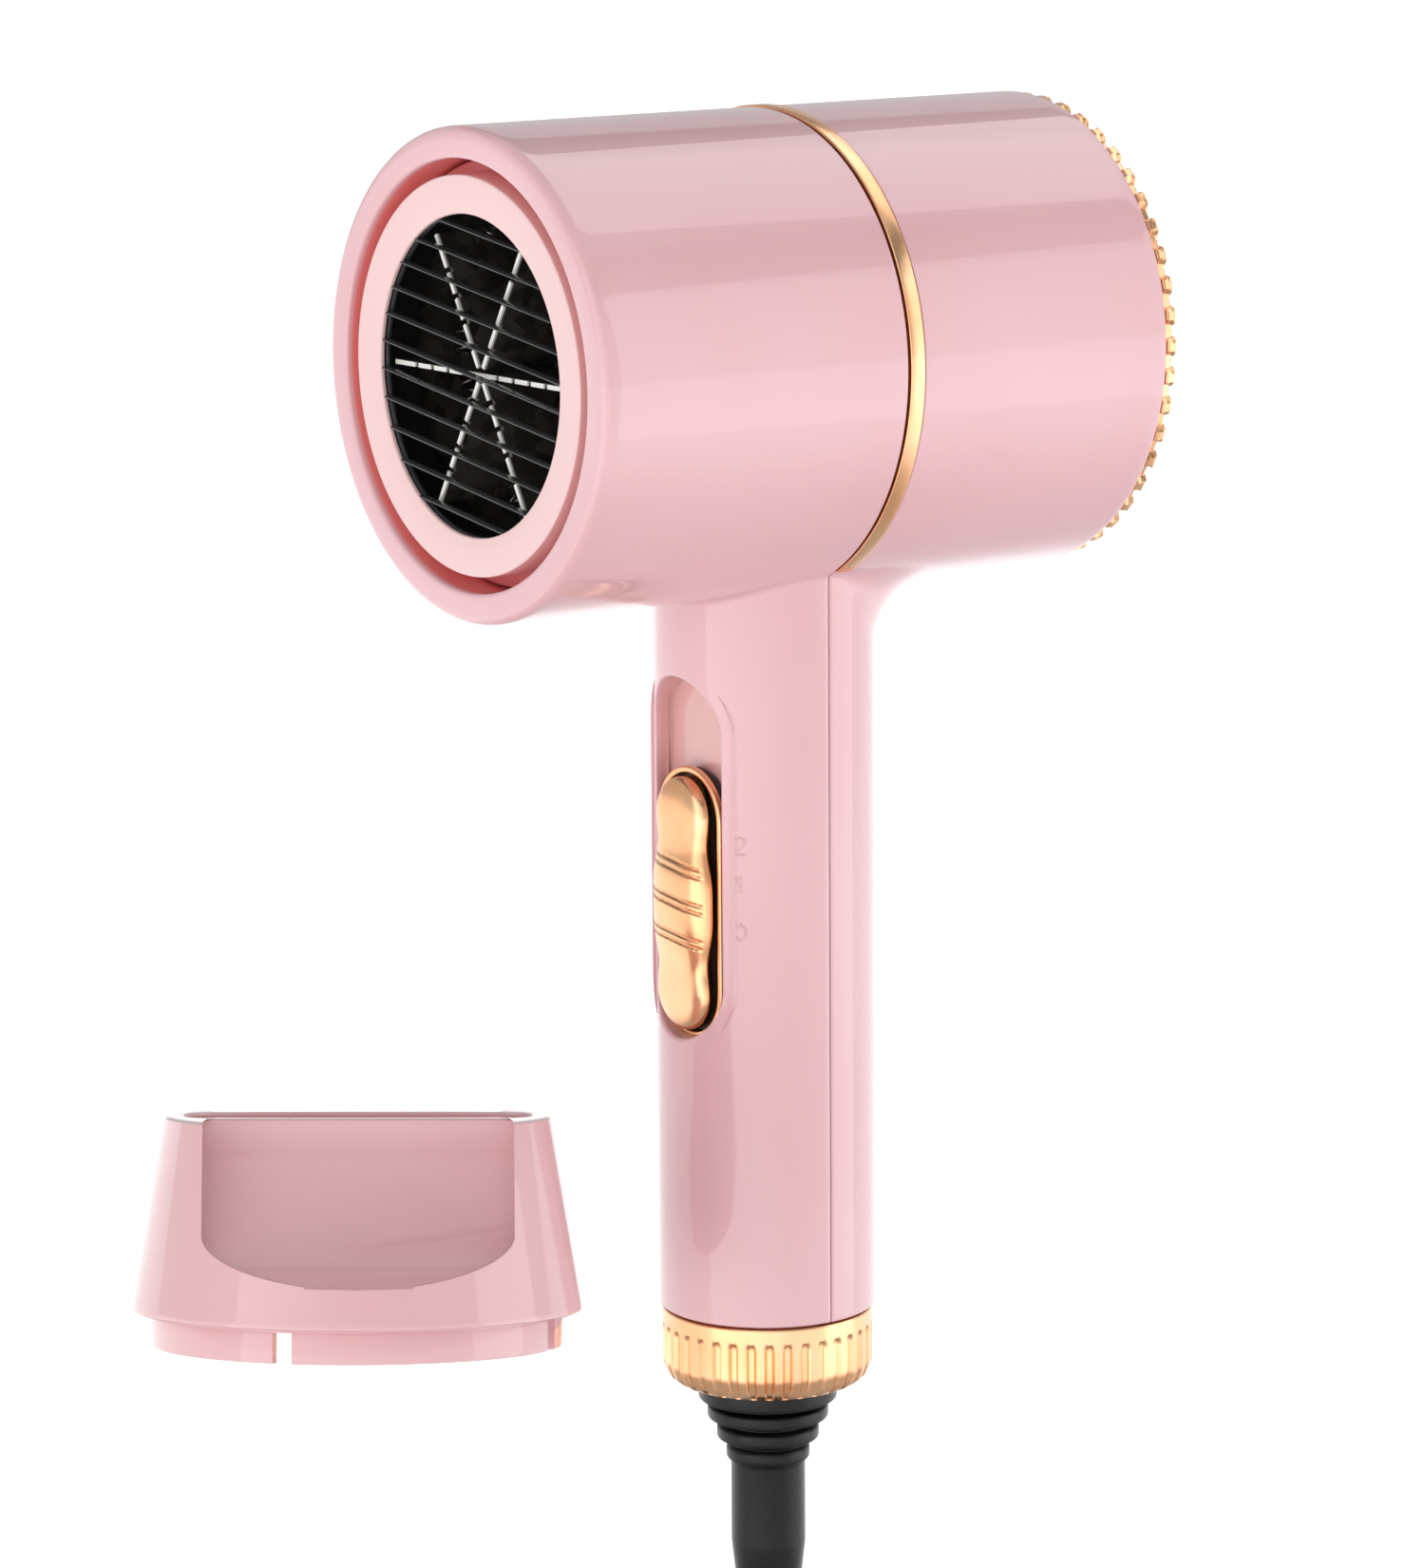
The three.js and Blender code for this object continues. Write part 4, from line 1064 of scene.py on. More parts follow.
def rear_barrel(skin, angle):
    """Rows from the band's seat and the blend to the rim, then the seat itself."""
    touch_y, touch_angle = touch_on_barrel(angle)
    touch_y = np.maximum(touch_y, PARTING)
    above = touch_y >= BAND_REAR - 1e-6
    bridge = np.linspace(0, 1, 4)[1:]
    start = touch_angle[above][0]
    gap_side = start + (BAND_GAP - start) * bridge
    rest = np.linspace(BAND_GAP, 2 * pi - BAND_GAP, 150)[1:-1]
    hole_angle, hole_y = touch_angle[above], touch_y[above]
    edge_angle = np.concatenate([hole_angle[::-1], gap_side, rest, 2 * pi - gap_side[::-1]])
    edge_y = np.concatenate([hole_y[::-1], np.full(len(edge_angle) - len(hole_y), BAND_REAR)])
    spread = radians(75)
    share = np.linspace(-1, 1, len(hole_angle))
    outside = edge_angle[len(hole_angle):]
    far_outside = pi + (outside - pi) * (pi - spread) / (pi - start)
    far_angle = np.concatenate([share * spread, far_outside])
    along, around = barrel_rows(edge_y, edge_angle, BARREL_REAR - 0.6, far_angle)
    skin.grid(barrel_skin(along, around), closed=True)
    roll = np.linspace(0, pi / 2, 5)
    rim = stack(BARREL_R - 0.6 + 0.6 * np.cos(roll), BARREL_REAR - 0.6 + 0.6 * np.sin(roll))
    skin.grid(around_barrel(rim[:, :1], rim[:, 1:], far_angle[None, :]), closed=True)

    # the seat of the gold band, and the little fields between it and the handle
    below = touch_y <= BAND_REAR + 1e-6
    for side in (1, -1):
        one_side = below & (np.sign(touch_angle) == side)
        ys, starts = touch_y[one_side][:, None], touch_angle[one_side][:, None]
        columns = starts + (side * BAND_GAP - starts) * np.concatenate([[0], bridge])
        skin.grid(barrel_skin(np.broadcast_to(ys, columns.shape), columns))
        depth = np.linspace(0, 1, 3)
        radius = BARREL_R + (REBATE_R - BARREL_R) * depth
        skin.grid(around_barrel(radius[None, :], ys, np.full((1, 1), side * BAND_GAP)))
    round_seat = np.concatenate([[BAND_GAP], rest, [2 * pi - BAND_GAP]])
    levels = np.sort(touch_y[below & (touch_angle > 0)])[::-1]
    drop = stack(np.linspace(BARREL_R, REBATE_R, 3), BAND_REAR)
    seat = np.vstack([drop[:-1], stack(REBATE_R, levels)])
    skin.grid(around_barrel(seat[:, :1], seat[:, 1:], round_seat[None, :]))


def rear_housing():
    """Three grids that share edges: the blend, the half handle and the barrel."""
    skin = Skin()
    even = with_close_ends(0, pi, 61, 1 / HANDLE_R)
    dense = np.linspace(0, radians(40), 4000)
    meets = np.interp(BAND_REAR, touch_on_barrel(dense)[0], dense)
    marks = [radians(65), radians(115), meets, pi - meets]
    angle = np.unique(np.concatenate([even, marks]).round(9))
    points, normals = corner_blend(angle, np.linspace(0, 1, 13))
    points[..., 1] = np.maximum(points[..., 1], PARTING)
    skin.grid(ease_parting(points, normals))
    rear_handle(skin, angle)
    rear_barrel(skin, angle)
    return skin.mesh("rear_shell", 0.01)


put("rear_shell", rear_housing(), PINK_GLOSS, "dryer", ["rear_housing"], wall=WALL)

# %% [markdown]
# ### The screws at the back of the handle
#
# Two self-tapping screws hold the halves together. A pan head is a shallow dome,
# and its cross is pressed in: a height that drops where a point is near either
# arm of the cross.


# %% Handle screws
def screw_mesh(name, place, length, radius):
    """A dome with a pressed cross, its rim, and a threaded shank that ends in a point."""
    head = 1.9 * radius
    angle = np.linspace(0, 2 * pi, 64, endpoint=False)[None, :]
    share = np.linspace(0.03, 1, 22)[:, None]
    across = head * share * np.cos(angle)
    up = head * share * np.sin(angle)
    arm = np.minimum(np.abs(across), np.abs(up))
    reach = np.maximum(np.abs(across), np.abs(up))
    pressed = smooth(0.30 * radius, 0.17 * radius, arm) * smooth(0.95 * head, 0.6 * head, reach)
    dome = radius * (1.25 - 0.55 * share**3) - 0.75 * radius * pressed
    top = stack(across, dome, up)
    turns = np.linspace(0, 1, 120)[:, None]
    shank = radius * (0.82 + 0.16 * np.abs(np.sin(turns * length * 2.2))) * smooth(1.02, 0.88, turns)
    below = stack(shank * np.cos(angle), -length * turns, shank * np.sin(angle))
    rim = stack(head * np.cos(angle), 0, head * np.sin(angle))
    rows = np.concatenate([top, rim, below])
    return Skin().tube(rows + np.array(place)).mesh(name)


for place_name, level in zip(("upper", "lower"), SCREW_LEVELS):
    seat_place = (0, 11 + 0.3, level)
    mesh = screw_mesh("screw_" + place_name, seat_place, 20, 1.4)
    put("screw_" + place_name, mesh, STEEL, "dryer", ["handle_screw_" + place_name])

# %% [markdown]
# ## The gold band
#
# The band is a shallow C: it runs round the barrel and stops on both sides of
# the handle. Its section is a flat bar with rolled edges, and both ends are
# closed.


# %% Gold band
def closed_section(outline, radius):
    """An eased outline that ends where it starts, ready to be carried round."""
    profile = eased(outline, radius, 3, closed=True)
    return np.vstack([profile, profile[:1]])


def gold_band():
    """The bar's section carried along a circle that stops at both sides of the handle."""
    low, high = box_mm("trim_ring")
    outer = high[0]
    section = closed_section([[36.4, low[1]], [outer, low[1]], [outer, high[1]], [36.4, high[1]]], 0.22)
    angle = np.linspace(BAND_GAP + 0.006, 2 * pi - BAND_GAP - 0.006, 181)
    rows = around_barrel(section[None, :-1, 0], section[None, :-1, 1], angle[:, None])
    return Skin().tube(rows).mesh("gold_band")


put("gold_band", gold_band(), GOLD, "dryer", ["trim_ring"])

# %% [markdown]
# ## The air outlet
#
# A paler collar sits inside the lip, with a groove round it that the nozzle's
# skirt pushes into. Its face is dished towards a round opening. Behind that lie
# thin black bars, tilted a little, that keep fingers off the heater.


# %% Outlet collar
def outlet_collar():
    """A stepped outline of radius and depth, eased and turned about the barrel's axis."""
    low, high = box_mm("outlet_collar")
    rear = high[1]
    flange = rear - 2
    outline = [
        [24.3, low[1] + 0.4], [30.2, low[1]], [30.2, -48.6], [32.3, -48.6], [32.3, flange],
        [34.8, flange], [34.8, rear], [29.9, rear], [29.9, flange], [26.4, flange], [26.4, -53.6],
        [24.3, -53.6],
    ]
    section = closed_section(outline, 0.35)
    angle = np.linspace(0, 2 * pi, 160, endpoint=False)
    rows = around_barrel(section[:, :1], section[:, 1:], angle[None, :])
    return Skin().grid(rows, closed=True).mesh("collar")


put("collar", outlet_collar(), PINK_PALE, "dryer", ["outlet_collar"])

# %% Outlet bars
BAR_PITCH = 4.3
BAR_COUNT = 11
BAR_TURN = radians(8)
bar_levels = (np.arange(BAR_COUNT) - (BAR_COUNT - 1) / 2) * BAR_PITCH


def outlet_bars():
    """A flat rim, and bars whose section is a small rounded wedge, thin side forward."""
    ring = closed_section([[24.3, -53.3], [26.1, -53.3], [26.1, -52.6], [24.3, -52.6]], 0.15)
    angle = np.linspace(0, 2 * pi, 120, endpoint=False)
    skin = Skin().grid(around_barrel(ring[:, :1], ring[:, 1:], angle[None, :]), closed=True)
    wedge = eased([[-0.12, -54.25], [0.12, -54.25], [0.3, -53.05], [-0.3, -53.05]], 0.12, 2, closed=True)
    for level in bar_levels:
        half = np.sqrt(24.5**2 - level**2)
        along = np.linspace(-half, half, 24)[:, None]
        across = level + wedge[None, :, 0]
        x = along * np.cos(BAR_TURN) + across * np.sin(BAR_TURN)
        z = BARREL_Z + across * np.cos(BAR_TURN) - along * np.sin(BAR_TURN)
        skin.tube(stack(x, wedge[None, :, 1], z))
    return skin.mesh("outlet_bars")


put("outlet_bars", outlet_bars(), BLACK_ENAMEL, "dryer", ["outlet_grille"])

# %% [markdown]
# ## The heater
#
# Three plates of pressed mica cross on the barrel's axis. Each is a sheet with
# cells left out of its grid: slots where the others pass, notches for the wire
# along its sides, and nicks along its front edge. A coil of thin wire, itself
# wound into a coil, runs round them.


# %% Mica plates
PLATE_R = 23.4
PLATE_FRONT = -52.3
PLATE_REAR = -10.0
CORE_GAP = 1.3
MICA_THICK = 0.7


def mica_plate(third, tilt):
    """A flat grid of cells, less slots, notches and nicks, turned about the axis."""
    half = np.array([0, CORE_GAP, 4.1, 5.0, 8.4, 9.3, 12.7, 13.6, 17.0, 17.9, 21.4, PLATE_R])
    across = np.concatenate([-half[::-1], half[1:]])
    thirds = np.linspace(PLATE_FRONT, PLATE_REAR, 4)
    nicks = [PLATE_FRONT + 0.9]
    notches = np.arange(PLATE_FRONT + 6, PLATE_REAR - 2, 3.0)
    along = np.unique(np.concatenate([thirds, nicks, notches, notches + 1.1]).round(6))
    x_mid = (across[1:] + across[:-1]) / 2
    y_mid = (along[1:] + along[:-1]) / 2
    wide, deep = np.meshgrid(np.abs(x_mid), y_mid)
    in_third = (deep > thirds[third]) & (deep < thirds[third + 1])
    slot = (wide < CORE_GAP) & ~in_third
    nick = (deep < PLATE_FRONT + 0.9) & (np.isin(np.digitize(wide, half), (3, 5, 7, 9)))
    notch = (wide > 21.4) & (((deep - notches[0]) % 3.0) < 1.1) & (deep > notches[0])
    turned_x = across * cos(tilt)
    turned_z = BARREL_Z + across * sin(tilt)
    points = stack(turned_x[None, :], along[:, None], turned_z[None, :])
    return Skin().grid(points, keep=~(slot | nick | notch)).mesh("mica")


for letter, third, tilt in (("a", 0, 0.0), ("b", 1, -radians(60)), ("c", 2, radians(60))):
    put("mica_leaf_" + letter, mica_plate(third, tilt), MICA, "dryer",
        ["mica_plate_" + letter], wall=MICA_THICK, offset=0)


# %% Heating coil
def heating_coil():
    """A helix whose wire is itself a small helix: wire wound on a rod, wound on the plates."""
    turns, small, steps = 5, 300, 10
    share = np.linspace(0, 1, small * steps + 1)
    big = 2 * pi * turns * share
    around = 2 * pi * small * share
    radius = 26.1 + 1.5 * np.cos(around)
    path = around_barrel(radius, -42 + 30 * share + 1.5 * np.sin(around), big)
    return Skin().tube(swept(path, 0.28, 5)).mesh("wound_coil")


put("wound_coil", heating_coil(), NICHROME, "dryer", ["heating_coil"], crease=80)

# %% [markdown]
# ## The fan
#
# The impeller pushes air forwards, so its blades lie like a screw thread: steep
# at the hub and flatter at the tip. Each blade is a thin aerofoil section carried
# outwards while it turns. It rides on the fan body, which spins.


# %% Impeller
BLADES = 7


def blade(turn_to):
    """Sections with rounded noses, 12 mm long, pitched from 52 degrees at the hub to 32."""
    radius = np.linspace(8.2, 31.3, 16)[:, None]
    around = np.linspace(0, 2 * pi, 20, endpoint=False)[None, :]
    chord = 6.1 * np.cos(around)
    thick = 0.62 * np.sin(around) * (1.15 - 0.35 * np.cos(around))
    pitch = radians(52) - radians(20) * (radius - 8.2) / 23.1
    along = chord * np.sin(pitch) + thick * np.cos(pitch)
    sideways = chord * np.cos(pitch) - thick * np.sin(pitch) + 0.5 * np.sin(radius / 8)
    angle = turn_to + sideways / radius
    return around_barrel(radius, 37 + along, angle)


def impeller():
    """A turned hub, and one blade repeated at even angles round it."""
    hub = [[1.5, 40.5], [1.5, 31], [8.4, 31], [9, 31.6], [9, 40], [7.6, 42.2], [4, 43.6], [0.02, 44]]
    hub = np.vstack([[[0.02, 40.5]], eased(hub, 0.6)])
    skin = Skin().tube(turned(hub, around_barrel, 72))
    for number in range(BLADES):
        skin.tube(blade(2 * pi * number / BLADES))
    return skin.mesh("impeller")


put("impeller", impeller(), BLACK_NYLON, "fan", ["fan_impeller"])

# %% [markdown]
# ## Flutes
#
# The gold ring at the back and the gold cap at the foot both have flutes: short
# grooves with a round end that run out over the edge. A flute is a depth taken
# off the turned surface where a point lies inside a stadium, so the grid has to
# be fine enough round the ring to hold its edge.


# %% Fluted rings
def flute_depth(angle, along, count, radius, half_width, start, direction):
    """1 inside a flute and 0 outside, with a short slope between. The round end is at start."""
    pitch = 2 * pi / count
    across = ((angle + pitch / 2) % pitch - pitch / 2) * radius
    beyond = np.maximum(0, (start - along) * direction)
    return smooth(half_width, half_width - 0.32, np.hypot(across, beyond))


def fluted(outline, place, count, radius, half_width, start, direction, depth, ease, per_flute=14):
    """A turned outline whose radius is less by the depth wherever a flute lies."""
    corners = eased(outline, ease, 3)
    step = np.linalg.norm(np.diff(corners, axis=0), axis=1)
    length = np.concatenate([[0], np.cumsum(step)])
    even = np.unique(np.concatenate([length, np.arange(0, length[-1], 0.4)]))
    r = np.interp(even, length, corners[:, 0])[:, None]
    along = np.interp(even, length, corners[:, 1])[:, None]
    angle = np.linspace(0, 2 * pi, count * per_flute, endpoint=False)[None, :]
    cut = flute_depth(angle + pi / count, along, count, radius, half_width, start, direction)
    outside = smooth(radius - 2.6, radius - 1.9, r)
    return place(r - depth * cut * outside, along, angle)


def rear_ring():
    """A plain ring's outline turned about the barrel, with flutes that run out at its back."""
    high = box_mm("rear_ring")[1]
    front = BARREL_REAR + 0.3
    outline = [[34.8, 44.5], [34.8, front], [37.2, front], [37.2, high[1]], [33, high[1]], [33, 44.5]]
    rows = fluted(outline, around_barrel, 48, 37.2, 1.55, 51.6, -1, 1.1, 0.45)
    return Skin().grid(np.concatenate([rows, rows[:1]]), closed=True).mesh("inlet_ring")


put("inlet_ring", rear_ring(), GOLD, "dryer", ["rear_ring"])


def end_cap():
    """A cup's outline turned about the handle, with flutes that run out at its foot."""
    low, high = box_mm("end_cap")
    top = -57.4
    radius = 16.8
    outline = [
        [12.8, high[2]], [14.6, high[2]], [14.6, top], [radius, top], [radius, low[2] + 3.4],
        [16.0, low[2] + 1.2], [14.4, low[2]], [6.7, low[2]], [6.7, low[2] + 3], [12.8, low[2] + 3],
        [12.8, high[2]],
    ]
    rows = fluted(outline, around_handle, 36, radius, 0.78, -60.9, -1, 0.55, 0.5)
    return Skin().grid(rows, closed=True).mesh("cap")


put("cap", end_cap(), GOLD, "dryer", ["end_cap"])

# %% [markdown]
# ## The air inlet
#
# Twenty-four slots stand like rays round a domed middle. One sector is a patch of
# rays between a slot and the sector's outline, and the others are turned copies.
# Behind it, a woven wire mesh keeps out dust: every wire goes over one and under
# the next, so its height is a cosine that flips sign from wire to wire.


# %% Inlet grille
SLOTS = 24


def inlet_grille():
    """One sector of rays from its slot to its border, turned; then a dome and a rim."""
    face = 51.2
    half_angle = pi / SLOTS
    hole = stadium(0.95, 8.0, 21.5, 8, 16)
    side = np.linspace(-half_angle, half_angle, 9)
    border = np.vstack([
        stack(31.2 * np.sin(side[::-1]), 31.2 * np.cos(side[::-1]))[:-1],
        stack(-np.sin(half_angle), np.cos(half_angle)) * np.linspace(31.2, 12.8, 18)[:-1, None],
        stack(12.8 * np.sin(side), 12.8 * np.cos(side))[:-1],
        stack(np.sin(half_angle), np.cos(half_angle)) * np.linspace(12.8, 31.2, 18)[:-1, None],
    ])
    bearing = np.linspace(0, 1, len(hole), endpoint=False)
    hole_angle = np.unwrap(np.arctan2(hole[:, 1] - 21.5, hole[:, 0]))
    border_angle = np.unwrap(np.arctan2(border[:, 1] - 21.5, border[:, 0]))
    ring = np.vstack([hole, hole[:1]])
    ring_angle = np.append(hole_angle, hole_angle[0] + 2 * pi)
    ring_share = np.append(bearing, 1.0)
    wrapped = np.interp(border_angle, ring_angle, ring_share, period=2 * pi)
    matched = stack(*(np.interp(wrapped, ring_share, ring[:, k]) for k in (0, 1)))
    field = rays(matched, border, np.linspace(0, 1, 6))
    lift = 0.35 * smooth(0, 0.35, np.linspace(0, 1, 6))[:, None]
    across, out = field[..., 0], field[..., 1]
    skin = Skin()
    for number in range(SLOTS):
        turn_by = 2 * pi * number / SLOTS
        x = across * cos(turn_by) + out * sin(turn_by)
        z = out * cos(turn_by) - across * sin(turn_by)
        skin.grid(stack(x, face - 0.35 + lift, BARREL_Z + z), closed=True)
    angle = np.arctan2(*[border[:8].T[k] for k in (0, 1)])
    columns = (angle[None, :] + (2 * pi / SLOTS * np.arange(SLOTS))[:, None]).reshape(-1)
    columns = np.unique((columns % (2 * pi)).round(6))
    boss = np.array([[12.8, face], [12.2, 51.5], [11, 52.0], [8, 52.3], [4, 52.38], [0.02, 52.4]])
    rim = np.array([[31.2, face], [32.4, face], [32.7, 50.9], [32.7, 50.0]])
    place = columns[None, :]
    skin.grid(around_barrel(boss[:, :1], boss[:, 1:], pi - place), closed=True)
    skin.grid(around_barrel(rim[:, :1], rim[:, 1:], pi - place), closed=True)
    return skin.mesh("inlet_grille", 0.02)


put("inlet_grille", inlet_grille(), PINK_GLOSS, "dryer", ["rear_grille"], wall=1.4)


# %% Dust mesh
def dust_mesh():
    """Two families of wires, each waving over and under the other, in a round frame."""
    pitch, wire, radius = 2.0, 0.22, 31.9
    frame_ring = closed_section([[31.6, 48.4], [32.6, 48.4], [32.6, 49.2], [31.6, 49.2]], 0.15)
    angle = np.linspace(0, 2 * pi, 96, endpoint=False)
    skin = Skin().grid(around_barrel(frame_ring[:, :1], frame_ring[:, 1:], angle[None, :]), closed=True)
    lines = np.arange(-15, 16)
    for flip in (0, 1):
        for line in lines:
            level = line * pitch
            half = np.sqrt(radius**2 - level**2)
            along = np.arange(-half, half, pitch / 3)
            wave = 0.2 * np.cos(pi * along / pitch + pi * (line + flip))
            level_row = np.full_like(along, level)
            pair = (along, level_row) if flip == 0 else (level_row, along)
            path = stack(pair[0], 48.8 + wave, BARREL_Z + pair[1])
            skin.tube(swept(path, wire, 4))
    return skin.mesh("dust_mesh_woven")


put("dust_mesh_woven", dust_mesh(), STEEL, "dryer", ["dust_mesh"], crease=80)

# %% [markdown]
# ## The switch
#
# The thumb piece slides up and down in the recess. A black carrier sits on the
# handle, a thin gold bezel lies on it, and the gold thumb piece stands in the
# bezel with a dark gap all round. That dark is painted shade: it is the carrier's
# black, where the channel would lie in shade and show a dark reflection. The thumb
# piece is drawn as sections across it, close together along its length: its width
# and its height both swell in the middle, and three pairs of shallow slanted
# grooves give the thumb a hold.


# %% Switch carrier and bezel
SLIDE_MID = (box_mm("slide_carrier")[0][2] + box_mm("slide_carrier")[1][2]) / 2


def stadium_rows(profile, half_width, half_length):
    """Stadium outlines that grow with the profile's first number, at its second as depth."""
    rows = []
    for grow, depth in profile:
        flat = stadium(half_width + grow, half_length + grow, SLIDE_MID, 28, 12)
        rows.append(stack(flat[:, 0], depth, flat[:, 1]))
    return np.array(rows)


def slide_carrier():
    """A stadium plate with eased edges, and a peg that goes down to the switch."""
    profile = eased([[-7.9, -12.1], [0, -12.1], [0, -13.3], [-7.9, -13.3]], 0.3)
    peg = rounded_block([-1.3, 6.9, SLIDE_MID - 2], [1.3, 12.3, SLIDE_MID + 2], 0.3)
    peg = peg * np.array([1, -1, 1])
    return Skin().tube(stadium_rows(profile, 8, 21.2)).tube(peg[:, ::-1]).mesh("carrier")


def knob_bezel():
    """A small eased section carried round a stadium."""
    profile = closed_section([[-1, -13.6], [0, -13.6], [0, -14.7], [-1, -14.7]], 0.28)
    return Skin().grid(stadium_rows(profile, 8.35, 21.6), closed=True).mesh("bezel")


# painted shade: the carrier's black shows in the gap round the thumb piece, standing in for the shade in
# that channel
put("carrier", slide_carrier(), BLACK_PLASTIC, "slider", ["slide_carrier"])
put("bezel", knob_bezel(), GOLD, "slider", ["knob_bezel"])


# %% Thumb piece
KNOB_HALF_WIDTH = 6.4
KNOB_HALF_LENGTH = 20.1
KNOB_RIM = -15.3
GRIPS = (-4.7, 1.0, 6.6)


def thumb_piece():
    """Width: a stadium's, wider in the middle, a waist on both sides. It overhangs a narrow foot."""
    turn_to = np.linspace(-pi / 2, pi / 2, 420)[1:-1]
    up = KNOB_HALF_LENGTH * np.sin(turn_to)[:, None]
    straight = KNOB_HALF_LENGTH - KNOB_HALF_WIDTH
    end = np.clip((np.abs(up) - straight) / KNOB_HALF_WIDTH, 0, 1)
    round_end = np.sqrt(1 - end**2)
    middle_swell = np.exp(-((up / 6.2) ** 4))
    waist = np.exp(-(((np.abs(up) - 9.6) / 2.6) ** 2))
    wide = KNOB_HALF_WIDTH * round_end + 0.75 * middle_swell - 0.45 * waist
    around = np.linspace(0, pi, 64)[None, :]
    side, over = np.cos(around), np.sin(around)
    across = wide * np.sign(side) * np.abs(side) ** 0.75
    tall = 2.3 * round_end**0.7
    swell = 0.95 * np.exp(-((up / 7.4) ** 4)) * np.exp(-((across / 6.4) ** 4))
    height = (tall + swell) * over**0.7
    groove = 0
    for grip in GRIPS:
        for pair in (-0.62, 0.62):
            away = np.abs(up + 0.12 * across + 0.008 * across**2 - grip - pair)
            groove = groove + smooth(0.40, 0.10, away)
    within = smooth(0.98 * wide, 0.80 * wide, np.abs(across))
    top = stack(across, KNOB_RIM - height + 0.32 * groove * within, SLIDE_MID + up)
    foot_x = wide * np.array([-0.97, -0.86, -0.66, -0.6, 0.6, 0.66, 0.86, 0.97])
    foot_y = np.array([0.3, 0.6, 0.8, 1.7, 1.7, 0.8, 0.6, 0.3]) + KNOB_RIM
    foot = stack(foot_x, foot_y, SLIDE_MID + up)
    return Skin().tube(np.concatenate([top, foot], axis=1)).mesh("thumb_piece")


put("thumb_piece", thumb_piece(), GOLD, "slider", ["switch_knob"])


# %% Numerals beside the switch
def numeral(strokes, level):
    """Raised strokes laid on the handle's round surface."""
    skin = Skin()
    for stroke in strokes:
        corners = np.array(stroke, float)
        path = bent_path(stack(corners[:, 0], 0, corners[:, 1]), 5)
        angle = radians(41) - pi / 2 + path[:, 0] / HANDLE_R
        placed = around_handle(HANDLE_R - 0.06, level + path[:, 2], angle)
        skin.tube(swept(placed, 0.22, 6))
    return skin


NUMERALS = {
    "high": ([[(-0.8, 0.7), (-0.2, 1.3), (0.7, 1.0), (0.6, 0.2), (-0.8, -1.3), (0.9, -1.3)]], 20.0),
    "low": ([[(-0.6, 0.7), (0.1, 1.3), (0.1, 0.0), (0.1, -1.3)]], 13.8),
    "off": ([[(0, 1.3), (0.8, 0.5), (0.8, -0.5), (0, -1.3), (-0.8, -0.5), (-0.8, 0.5), (0, 1.3)]], 6.4),
}
for name, (strokes, level) in NUMERALS.items():
    put("numeral_" + name, numeral(strokes, level).mesh("numeral"), PINK_GLOSS, "dryer")

# %% [markdown]
# ## The boot
#
# Rubber steps get smaller towards the cable, so that it bends in a wide curve and
# not at one place. The outline is turned with its corners eased.


# %% Boot
def boot():
    """A stepped outline turned about the handle's axis, with its corners eased."""
    low, high = box_mm("boot")
    cap_foot = box_mm("end_cap")[0][2]
    flange = cap_foot + 3.3
    outline = [
        [0.02, high[2]], [9.5, high[2]], [9.5, flange], [6.4, flange], [6.4, cap_foot - 0.3],
        [11.1, cap_foot - 0.3], [11.1, -73.0], [8.2, -73.8], [9.7, -74.2], [9.7, -76.2], [7, -77.1],
        [8.2, -77.6], [8.2, -79.6], [5.95, -80.5], [6.7, -81.1], [6.7, -82.9], [5.95, -83.5],
        [5.95, -97], [4.5, low[2]], [0.02, low[2]],
    ]
    return Skin().tube(turned(eased(outline, 0.42), around_handle)).mesh("stepped_boot")


put("stepped_boot", boot(), BLACK_RUBBER, "dryer", ["boot"])

# %% [markdown]
# ## The nozzle
#
# It squeezes the air into a flat jet. The outside is a cone with a scoop pressed
# into both faces, so one quarter of every section has three parts: the scoop's
# flat, the step at its side, and the cone's arc. The step's corners turn inwards
# near the foot, and that draws the scoop's round lower outline. The hollow inside
# goes from a circle to a flat rounded slot.

# %% Nozzle sections
NOZZLE_R = 34.3
NOZZLE_TOP_R = 29.3
NOZZLE_HEIGHT = 29.5
NOZZLE_WALL = 1.8
SCOOP_R = 27
SCOOP_Y = 35.5
SCOOP_Z = 33
SCOOP_HALF_WIDTH = 23.2
SCOOP_BEND = 13
SCOOP_LOW = 6
SKIRT_SLITS = (-111, -22, 69, 158, 249)
SKIRT_R = 31.3
SKIRT_BORE = 29.7
SKIRT_FOOT = -5.2
NOZZLE_PLACE = (0, -77 * MM, -45.6 * MM)
NOZZLE_TURN = radians(57.9)
NOZZLE_TILT = radians(-10)
NOZZLE_ROLL = radians(1.2)


def cone_radius(z):
    """Falls evenly from the foot's radius to the top's."""
    return NOZZLE_R + (NOZZLE_TOP_R - NOZZLE_R) * z / NOZZLE_HEIGHT


def scoop_face(z):
    """How far out the scoop's face lies: an arc about a centre outside the nozzle."""
    return SCOOP_Y - np.sqrt(np.maximum(SCOOP_R**2 - (SCOOP_Z - z) ** 2, 0))


def scoop_side(z):
    """Half of the window: straight above its bend, a half ellipse below it."""
    below = np.clip((SCOOP_BEND - z) / (SCOOP_BEND - SCOOP_LOW), 0, 1)
    return np.maximum(SCOOP_HALF_WIDTH * np.sqrt(1 - below**2), 8)


